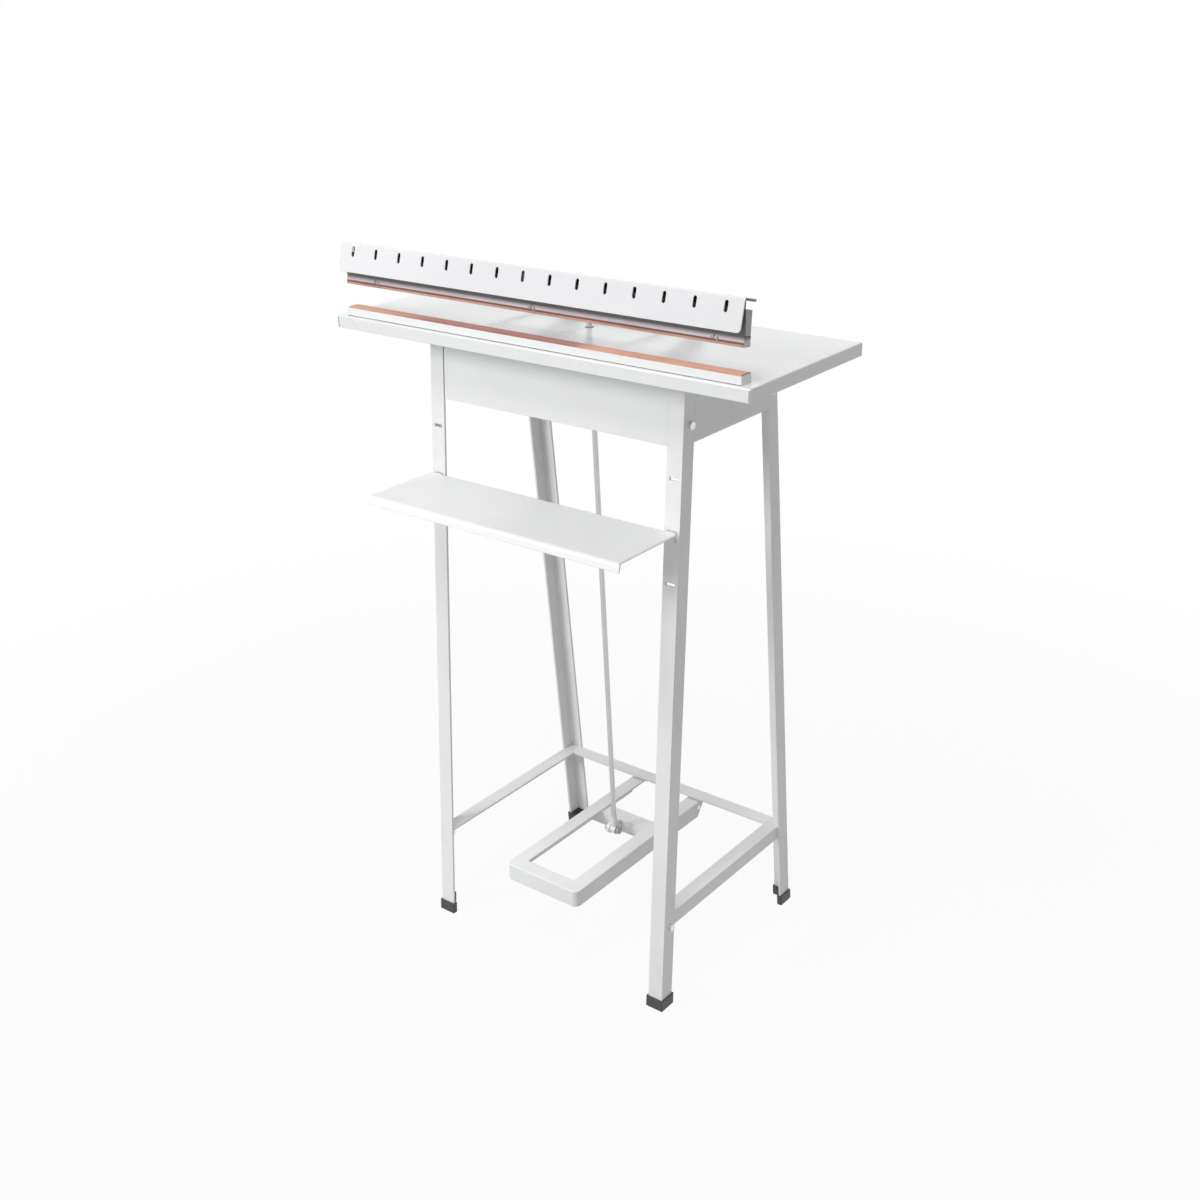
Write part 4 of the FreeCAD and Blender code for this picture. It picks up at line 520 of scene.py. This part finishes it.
def paintedMetal(name, color, shade, roughness, dust=0.15, coat=0.25, gloss=0.5):
    values = {"Color": color, "Shade": shade, "Roughness": roughness, "Dust": dust}
    constants = {"Coat Weight": coat, "Coat Roughness": 0.16, "Specular IOR Level": gloss, "Metallic": 0.0}
    material, tree, shader, layer, edge = newMaterial(name, powderCoat, values, "paint", constants)
    wear = addMath(tree, "MULTIPLY", edge.outputs["Wear"], coatLook["wornShare"])
    worn = addMix(tree, wear, layer.outputs["Color"], coatLook["wornColor"])
    tree.links.new(worn, shader.inputs["Base Color"])
    return material


def bareMetal(name, color, shade, roughness, stretch):
    values = {"Color": color, "Shade": shade, "Roughness": roughness, "Stretch": stretch}
    return newMaterial(name, drawnGrain, values, "metal", {"Metallic": 1.0})[0]


def mouldedPlastic(name, color, scuff, roughness):
    values = {"Color": color, "Scuff": scuff, "Roughness": roughness}
    return newMaterial(name, mouldedGrain, values, "plastic", {"Metallic": 0.0})[0]


def clothTape(name, color, shade):
    return newMaterial(name, tapeWeave, {"Color": color, "Shade": shade}, "tape", tapeCoat)[:4]


def wovenTape(name, color, shade, browned, stretch):
    # the tape is browned along the stretch where bags are sealed most
    material, tree, shader, layer = clothTape(name, color, shade)
    split = tree.nodes.new("ShaderNodeSeparateXYZ")
    tree.links.new(objectVector(tree), split.inputs[0])
    rise = addRange(tree, split.outputs["X"], stretch["from"], stretch["full"], 0.0, 1.0, True)
    fall = addRange(tree, split.outputs["X"], stretch["fade"], stretch["to"], 1.0, 0.0, True)
    tone = addMix(tree, addMath(tree, "MULTIPLY", rise, fall), layer.outputs["Color"], browned)
    tree.links.new(tone, shader.inputs["Base Color"])
    return material


def jawShare(tree, low, high):
    layer = tree.nodes.new("ShaderNodeGroup")
    layer.node_tree = jawHeight
    layer.inputs["Low"].default_value = low
    layer.inputs["High"].default_value = high
    return layer.outputs["Share"]


def channelSteel(name, shadedFaceColor, shadedFaceTone, litEndColor, roughness, endsFrom=0.6, endsFull=0.9):
    # dark along the channel's front and back, a painted shade of the cover, and paler on its end plates, a
    # painted light that makes up for the dimmer light on them
    material = paintedMetal(name, shadedFaceColor, shadedFaceTone, roughness, dust=0.1, coat=0.1)
    tree = material.node_tree
    shader = tree.nodes["Principled BSDF"]
    face = tree.nodes.new("ShaderNodeNewGeometry")
    split = tree.nodes.new("ShaderNodeSeparateXYZ")
    tree.links.new(face.outputs["True Normal"], split.inputs[0])
    sideways = addMath(tree, "ABSOLUTE", split.outputs["X"])
    ends = addRange(tree, sideways, endsFrom, endsFull, 0.0, 1.0)
    tone = shader.inputs["Base Color"].links[0].from_socket
    tree.links.new(addMix(tree, ends, tone, litEndColor), shader.inputs["Base Color"])
    return material


def heatedBar(name, color, shade, roughness, coverShadow, shadowFrom=0.5, shadowFull=0.12):
    # painted shadow of the cover: the bar darkens towards its top, from half its face up to just under the
    # channel
    values = {"Color": color, "Shade": shade, "Roughness": roughness, "Stretch": (1.0, 55.0, 55.0)}
    material, tree, shader, layer = newMaterial(name, drawnGrain, values, "metal", {"Metallic": 0.55})[:4]
    top = jaw["barUnder"] + jaw["barFace"]
    share = jawShare(tree, top - shadowFrom * jaw["barFace"], top - shadowFull * jaw["barFace"])
    tree.links.new(addMix(tree, share, layer.outputs["Color"], coverShadow), shader.inputs["Base Color"])
    return material


def jawTape(name, color, shade, line, bands, soft=0.6):
    # cloth tape folded up the bar's front, darker along its bands, each a middle height and a half width
    material, tree, shader, layer = clothTape(name, color, shade)
    tone = layer.outputs["Color"]
    for middle, half in bands:
        lower = jawShare(tree, middle - half, middle - soft * half)
        upper = jawShare(tree, middle + half, middle + soft * half)
        tone = addMix(tree, addMath(tree, "MULTIPLY", lower, upper), tone, line)
    tree.links.new(tone, shader.inputs["Base Color"])
    return material


turned = (40.0, 40.0, 6.0)  # how much finer the grain is along X, Y and Z
evenGrain = (20.0, 20.0, 20.0)

finishes = {
    "tablePaint": paintedMetal("tablePaint", (0.79, 0.80, 0.80, 1), (0.75, 0.76, 0.765, 1), 0.22,
                               dust=0.05, coat=0.6),
    "sheetPaint": paintedMetal("sheetPaint", (0.86, 0.865, 0.87, 1), (0.82, 0.825, 0.83, 1), 0.34),
    # the cover's paint is a greyer copy of the white sheet paint, painted shade that holds back the key
    # lamp's glare on it
    "coverPaint": paintedMetal("coverPaint", (0.755, 0.755, 0.77, 1), (0.725, 0.725, 0.745, 1), 0.6,
                               dust=0.05, coat=0.0, gloss=0.15),
    "ironPaint": paintedMetal("ironPaint", (0.86, 0.865, 0.87, 1), (0.79, 0.795, 0.805, 1), 0.38),
    "channelPaint": channelSteel("channelPaint", (0.17, 0.165, 0.165, 1), (0.12, 0.118, 0.118, 1),
                                 (0.44, 0.435, 0.43, 1), 0.42),
    "dullZinc": bareMetal("dullZinc", (0.46, 0.46, 0.455, 1), (0.33, 0.33, 0.325, 1), 0.42, turned),
    "zincPlate": bareMetal("zincPlate", (0.80, 0.80, 0.79, 1), (0.62, 0.615, 0.60, 1), 0.3, turned),
    "rodSteel": bareMetal("rodSteel", (0.66, 0.66, 0.67, 1), (0.50, 0.50, 0.51, 1), 0.34,
                          (60.0, 60.0, 1.5)),
    "springSteelAndShade": bareMetal("springSteelAndShade", (0.34, 0.34, 0.36, 1), (0.2, 0.2, 0.22, 1), 0.3, evenGrain),
    "blackOxide": bareMetal("blackOxide", (0.03, 0.03, 0.032, 1), (0.015, 0.015, 0.016, 1), 0.45,
                            evenGrain),
    "heaterSheath": bareMetal("heaterSheath", (0.46, 0.40, 0.34, 1), (0.3, 0.25, 0.22, 1), 0.4,
                              (1.0, 30.0, 30.0)),
    "barAluminium": heatedBar("barAluminium", (0.52, 0.47, 0.50, 1), (0.42, 0.37, 0.39, 1), 0.5,
                              (0.10, 0.09, 0.095, 1)),
    "releaseTape": wovenTape("releaseTape", (0.68, 0.31, 0.19, 1), (0.56, 0.23, 0.14, 1),
                             (0.36, 0.135, 0.095, 1),
                             {"from": -270 * mm, "full": -150 * mm, "fade": 62 * mm, "to": 98 * mm}),
    "jawTape": jawTape("jawTape", (0.58, 0.27, 0.18, 1), (0.44, 0.17, 0.12, 1), (0.16, 0.05, 0.035, 1),
                       ((-8.5 * mm, 1.3 * mm),)),
    # dark for the dial's printed ticks, and painted shade for the strip behind the cover's slots and the
    # line under the lower jaw
    "darkPrintAndShade": mouldedPlastic("darkPrintAndShade", (0.12, 0.117, 0.117, 1), (0.17, 0.165, 0.165, 1), 0.95),
    "jointShade": mouldedPlastic("jointShade", (0.03, 0.03, 0.03, 1), (0.05, 0.05, 0.05, 1), 0.9),
    "siliconeRed": mouldedPlastic("siliconeRed", (0.42, 0.09, 0.06, 1), (0.5, 0.2, 0.15, 1), 0.55),
    "footPlastic": mouldedPlastic("footPlastic", (0.045, 0.045, 0.048, 1), (0.11, 0.11, 0.115, 1), 0.4),
    "blackPlastic": mouldedPlastic("blackPlastic", (0.02, 0.02, 0.022, 1), (0.08, 0.08, 0.08, 1), 0.42),
    "rockerRed": mouldedPlastic("rockerRed", (0.45, 0.015, 0.015, 1), (0.5, 0.08, 0.07, 1), 0.28),
}

dressing = {
    "tablePaint": ["table_top"],
    "sheetPaint": ["front_apron", "rear_apron", "left_apron", "right_apron", "shelf", "lower_jaw_bar",
                   "shelf_rivets"],
    "coverPaint": ["upper_cover"],
    "ironPaint": ["front_left_leg", "front_right_leg", "rear_left_leg", "rear_right_leg",
                  "left_stretcher", "right_stretcher", "rear_stretcher", "pedal_frame", "pedal_crossbar",
                  "rod_lug", "rod_eyes", "rod_guide", "left_pedal_bracket", "right_pedal_bracket",
                  "left_jaw_arm", "right_jaw_arm", "arm_crossbar", "left_pivot_bracket",
                  "right_pivot_bracket", "left_shelf_hook", "right_shelf_hook"],
    "channelPaint": ["heater_channel"],
    "zincPlate": ["leg_bolts", "leg_nuts", "lower_jaw_screws", "jaw_pivot_pins", "pedal_hinge_pins",
                  "arm_screws", "spring_collar"],
    "dullZinc": ["rod_foot_bolt", "rod_foot_nut"],
    "blackOxide": ["cover_brackets"],
    "rodSteel": ["pull_rod"],
    # rod_top_pin and rod_clevis take the dark spring steel as painted shade, for the shade under the heated
    # jaw
    "springSteelAndShade": ["return_spring", "bar_screws", "rod_top_pin", "rod_clevis"],
    "barAluminium": ["heating_bar"],
    "heaterSheath": ["cartridge_heater"],
    "releaseTape": ["lower_tape"],
    "jawTape": ["upper_tape"],
    "siliconeRed": ["lower_rubber_strip"],
    "footPlastic": ["front_left_foot_cap", "front_right_foot_cap", "rear_left_foot_cap",
                    "rear_right_foot_cap"],
    "blackPlastic": ["heat_regulator", "heat_knob", "switch_body", "cord_gland"],
    "rockerRed": ["switch_rocker"],
}


def dressNode(node, material):
    piece = nodes[node]
    for place in piece.material_slots:
        place.link = "OBJECT"
        place.material = material
    if not piece.material_slots:
        piece.data.materials.append(material)


for finish, names in dressing.items():
    for node in names:
        dressNode(node, finishes[finish])
print("frame dressed")

# Repeated small pieces, each made by a node tree from named values and kept as one plain mesh


def newPattern(name, inputs):
    tree = bpy.data.node_groups.new(name, "GeometryNodeTree")
    tree.interface.new_socket("Geometry", in_out="OUTPUT", socket_type="NodeSocketGeometry")
    tree.interface.new_socket("Geometry", in_out="INPUT", socket_type="NodeSocketGeometry")
    for label, kind in inputs:
        tree.interface.new_socket(label, in_out="INPUT", socket_type=kind)
    return tree, tree.nodes.new("NodeGroupInput").outputs, tree.nodes.new("NodeGroupOutput")


def finishPattern(tree, end, points, shape, turn, start):
    # copies of a shape on points, made real and painted
    copies = tree.nodes.new("GeometryNodeInstanceOnPoints")
    tree.links.new(points, copies.inputs["Points"])
    tree.links.new(shape, copies.inputs["Instance"])
    if turn is not None:
        tree.links.new(turn, copies.inputs["Rotation"])
    solid = tree.nodes.new("GeometryNodeRealizeInstances")
    tree.links.new(copies.outputs["Instances"], solid.inputs["Geometry"])
    paint = tree.nodes.new("GeometryNodeSetMaterial")
    tree.links.new(solid.outputs["Geometry"], paint.inputs["Geometry"])
    tree.links.new(start["Material"], paint.inputs["Material"])
    tree.links.new(paint.outputs["Geometry"], end.inputs["Geometry"])


def linePattern():
    # boxes in a row: clips, seams, or one strip by itself
    tree, start, end = newPattern("boxRow", [("Count", "NodeSocketInt"), ("First", "NodeSocketVector"),
                                             ("Step", "NodeSocketVector"), ("Size", "NodeSocketVector"),
                                             ("Material", "NodeSocketMaterial")])
    line = tree.nodes.new("GeometryNodeMeshLine")
    box = tree.nodes.new("GeometryNodeMeshCube")
    for label, target in (("Count", line.inputs["Count"]), ("First", line.inputs["Start Location"]),
                          ("Step", line.inputs["Offset"]), ("Size", box.inputs["Size"])):
        tree.links.new(start[label], target)
    finishPattern(tree, end, line.outputs["Mesh"], box.outputs["Mesh"], None, start)
    return tree


def scalePattern():
    # ticks round a dial, from the first angle on, standing out along -X
    tree, start, end = newPattern("dialScale", [("Count", "NodeSocketInt"), ("Radius", "NodeSocketFloat"),
                                                ("First", "NodeSocketFloat"), ("Step", "NodeSocketFloat"),
                                                ("Place", "NodeSocketVector"), ("Size", "NodeSocketVector"),
                                                ("Material", "NodeSocketMaterial")])
    line = tree.nodes.new("GeometryNodeMeshLine")
    box = tree.nodes.new("GeometryNodeMeshCube")
    tree.links.new(start["Count"], line.inputs["Count"])
    tree.links.new(start["Size"], box.inputs["Size"])
    index = tree.nodes.new("GeometryNodeInputIndex").outputs["Index"]
    angle = addMath(tree, "ADD", addMath(tree, "MULTIPLY", index, start["Step"]), start["First"])
    spot = tree.nodes.new("ShaderNodeCombineXYZ")
    for function, socket in (("SINE", "Y"), ("COSINE", "Z")):
        reach = addMath(tree, "MULTIPLY", addMath(tree, function, angle), start["Radius"])
        tree.links.new(reach, spot.inputs[socket])
    moved = tree.nodes.new("ShaderNodeVectorMath")
    moved.operation = "ADD"
    tree.links.new(spot.outputs["Vector"], moved.inputs[0])
    tree.links.new(start["Place"], moved.inputs[1])
    placed = tree.nodes.new("GeometryNodeSetPosition")
    tree.links.new(line.outputs["Mesh"], placed.inputs["Geometry"])
    tree.links.new(moved.outputs["Vector"], placed.inputs["Position"])
    turn = tree.nodes.new("ShaderNodeCombineXYZ")
    tree.links.new(addMath(tree, "MULTIPLY", angle, -1), turn.inputs["X"])
    finishPattern(tree, end, placed.outputs["Geometry"], box.outputs["Mesh"], turn.outputs["Vector"], start)
    return tree


rippleFaces = {"Segments": 12, "Rings": 8}


def weldPattern():
    # a weld bead: overlapping ripples, each a little off its place
    tree, start, end = newPattern("weldBead", [("Count", "NodeSocketInt"), ("First", "NodeSocketVector"),
                                               ("Step", "NodeSocketVector"), ("Radius", "NodeSocketFloat"),
                                               ("Jitter", "NodeSocketFloat"), ("Seed", "NodeSocketInt"),
                                               ("Material", "NodeSocketMaterial")])
    line = tree.nodes.new("GeometryNodeMeshLine")
    tree.links.new(start["Count"], line.inputs["Count"])
    tree.links.new(start["First"], line.inputs["Start Location"])
    tree.links.new(start["Step"], line.inputs["Offset"])
    shift = tree.nodes.new("FunctionNodeRandomValue")
    shift.data_type = "FLOAT_VECTOR"
    tree.links.new(addMath(tree, "MULTIPLY", start["Jitter"], -1), shift.inputs["Min"])
    tree.links.new(start["Jitter"], shift.inputs["Max"])
    tree.links.new(start["Seed"], shift.inputs["Seed"])
    placed = tree.nodes.new("GeometryNodeSetPosition")
    tree.links.new(line.outputs["Mesh"], placed.inputs["Geometry"])
    tree.links.new(shift.outputs["Value"], placed.inputs["Offset"])
    ripple = tree.nodes.new("GeometryNodeMeshUVSphere")
    for label, amount in rippleFaces.items():
        ripple.inputs[label].default_value = amount
    tree.links.new(start["Radius"], ripple.inputs["Radius"])
    finishPattern(tree, end, placed.outputs["Geometry"], ripple.outputs["Mesh"], None, start)
    return tree


def makePattern(name, tree, values, body, turn=None):
    seed = bpy.data.meshes.new(name)
    piece = bpy.data.objects.new(name, seed)
    bpy.context.scene.collection.objects.link(piece)
    modifier = piece.modifiers.new("pattern", "NODES")
    modifier.node_group = tree
    for item in tree.interface.items_tree:
        if item.in_out == "INPUT" and item.name in values:
            modifier[item.identifier] = values[item.name]
    made = bpy.data.meshes.new_from_object(piece.evaluated_get(bpy.context.evaluated_depsgraph_get()))
    piece.modifiers.clear()
    piece.data = made
    if turn is not None:
        made.transform(turn)
    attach(piece, body)


boxRow = linePattern()
dialScale = scalePattern()
weldBead = weldPattern()
oneBox = {"Count": 1, "Step": Vector((0, 0, 0))}

# a dark strip behind the slots of the cover, painted shade for the dark inside of the cover
slotShadeStrip = {
    **oneBox,
    "First": Vector((0, -202.3, 30.2)) * mm,
    "Size": Vector((584, 7.6, 9.8)) * mm,
    "Material": finishes["darkPrintAndShade"],
}
makePattern("slotShadeStrip", boxRow, slotShadeStrip, "heated_jaw", tipUp)

# clips that hold the folded tape to the bar
tapeClips = {
    "Count": 3,
    "First": Vector((-244, -208.6, -8.2)) * mm,
    "Step": Vector((255, 0, 0)) * mm,
    "Size": Vector((1.5, 0.7, 7.5)) * mm,
    "Material": finishes["springSteelAndShade"],
}
makePattern("tapeClips", boxRow, tapeClips, "heated_jaw", tipUp)

# dial ticks round the heat knob, on the left apron
knobScale = {
    "Count": 11,
    "Radius": 21.5 * mm,
    "First": math.radians(-135),
    "Step": math.radians(27),
    "Place": Vector((-198.05, -2.49, 813.2)) * mm,
    "Size": Vector((0.2, 0.8, 4.0)) * mm,
    "Material": finishes["darkPrintAndShade"],
}
makePattern("knobScale", dialScale, knobScale, "frame")

# seams of the table's rim at its two front corners
cornerSeams = {
    "Count": 2,
    "First": Vector((-313.2, -118.45, 856.3)) * mm,
    "Step": Vector((626.4, 0, 0)) * mm,
    "Size": Vector((0.8, 0.3, 13.4)) * mm,
    "Material": finishes["jointShade"],
}
makePattern("cornerSeams", boxRow, cornerSeams, "frame")

# a dark strip in the open joint between the left leg and the front apron, along the legs' forward slope,
# painted shade for the inside of the joint
apronGapShade = {
    **oneBox,
    "First": Vector((0, 0, 0)),
    "Size": Vector((1.3, 0.6, 82.0)) * mm,
    "Material": finishes["jointShade"],
    "place": Vector((-175.25, -71.9, 807.8)) * mm,
    "slope": math.radians(-3.43),
}
besideLeg = Matrix.Translation(apronGapShade["place"]) @ Matrix.Rotation(apronGapShade["slope"], 4, "X")
makePattern("apronGapShade", boxRow, apronGapShade, "frame", besideLeg)

# the dark line where the lower jaw stands on the table, a painted shadow along the joint
jawShadeLine = {
    **oneBox,
    "First": Vector((0, -113.05, 865.6)) * mm,
    "Size": Vector((600, 0.3, 0.5)) * mm,
    "Material": finishes["darkPrintAndShade"],
}
makePattern("jawShadeLine", boxRow, jawShadeLine, "frame")

# flange on the top edge of the pedal's crossbar
crossbarFlange = {
    **oneBox,
    "First": Vector((0, 73.5, 128.6)) * mm,
    "Size": Vector((117.6, 18.0, 3.0)) * mm,
    "Material": finishes["ironPaint"],
}
makePattern("crossbarFlange", boxRow, crossbarFlange, "pedal")

# weld beads at the lug and at both ends of the crossbar
weldSet = {
    "Count": 12,
    "Step": Vector((0, 0, 1.5)) * mm,
    "Radius": 1.7 * mm,
    "Jitter": 0.25 * mm,
    "Material": finishes["ironPaint"],
}
welds = {
    "lugWeld": {"First": Vector((-4.6, 59.9, 112.5)) * mm, "Seed": 3},
    "leftBarWeld": {"First": Vector((-58.4, 60.0, 112.0)) * mm, "Seed": 5},
    "rightBarWeld": {"First": Vector((58.4, 60.0, 112.0)) * mm, "Seed": 7},
}
for name, weld in welds.items():
    makePattern(name, weldBead, {**weldSet, **weld}, "pedal")
print("small pieces placed")

bpy.context.scene.view_settings.view_transform = "Standard"
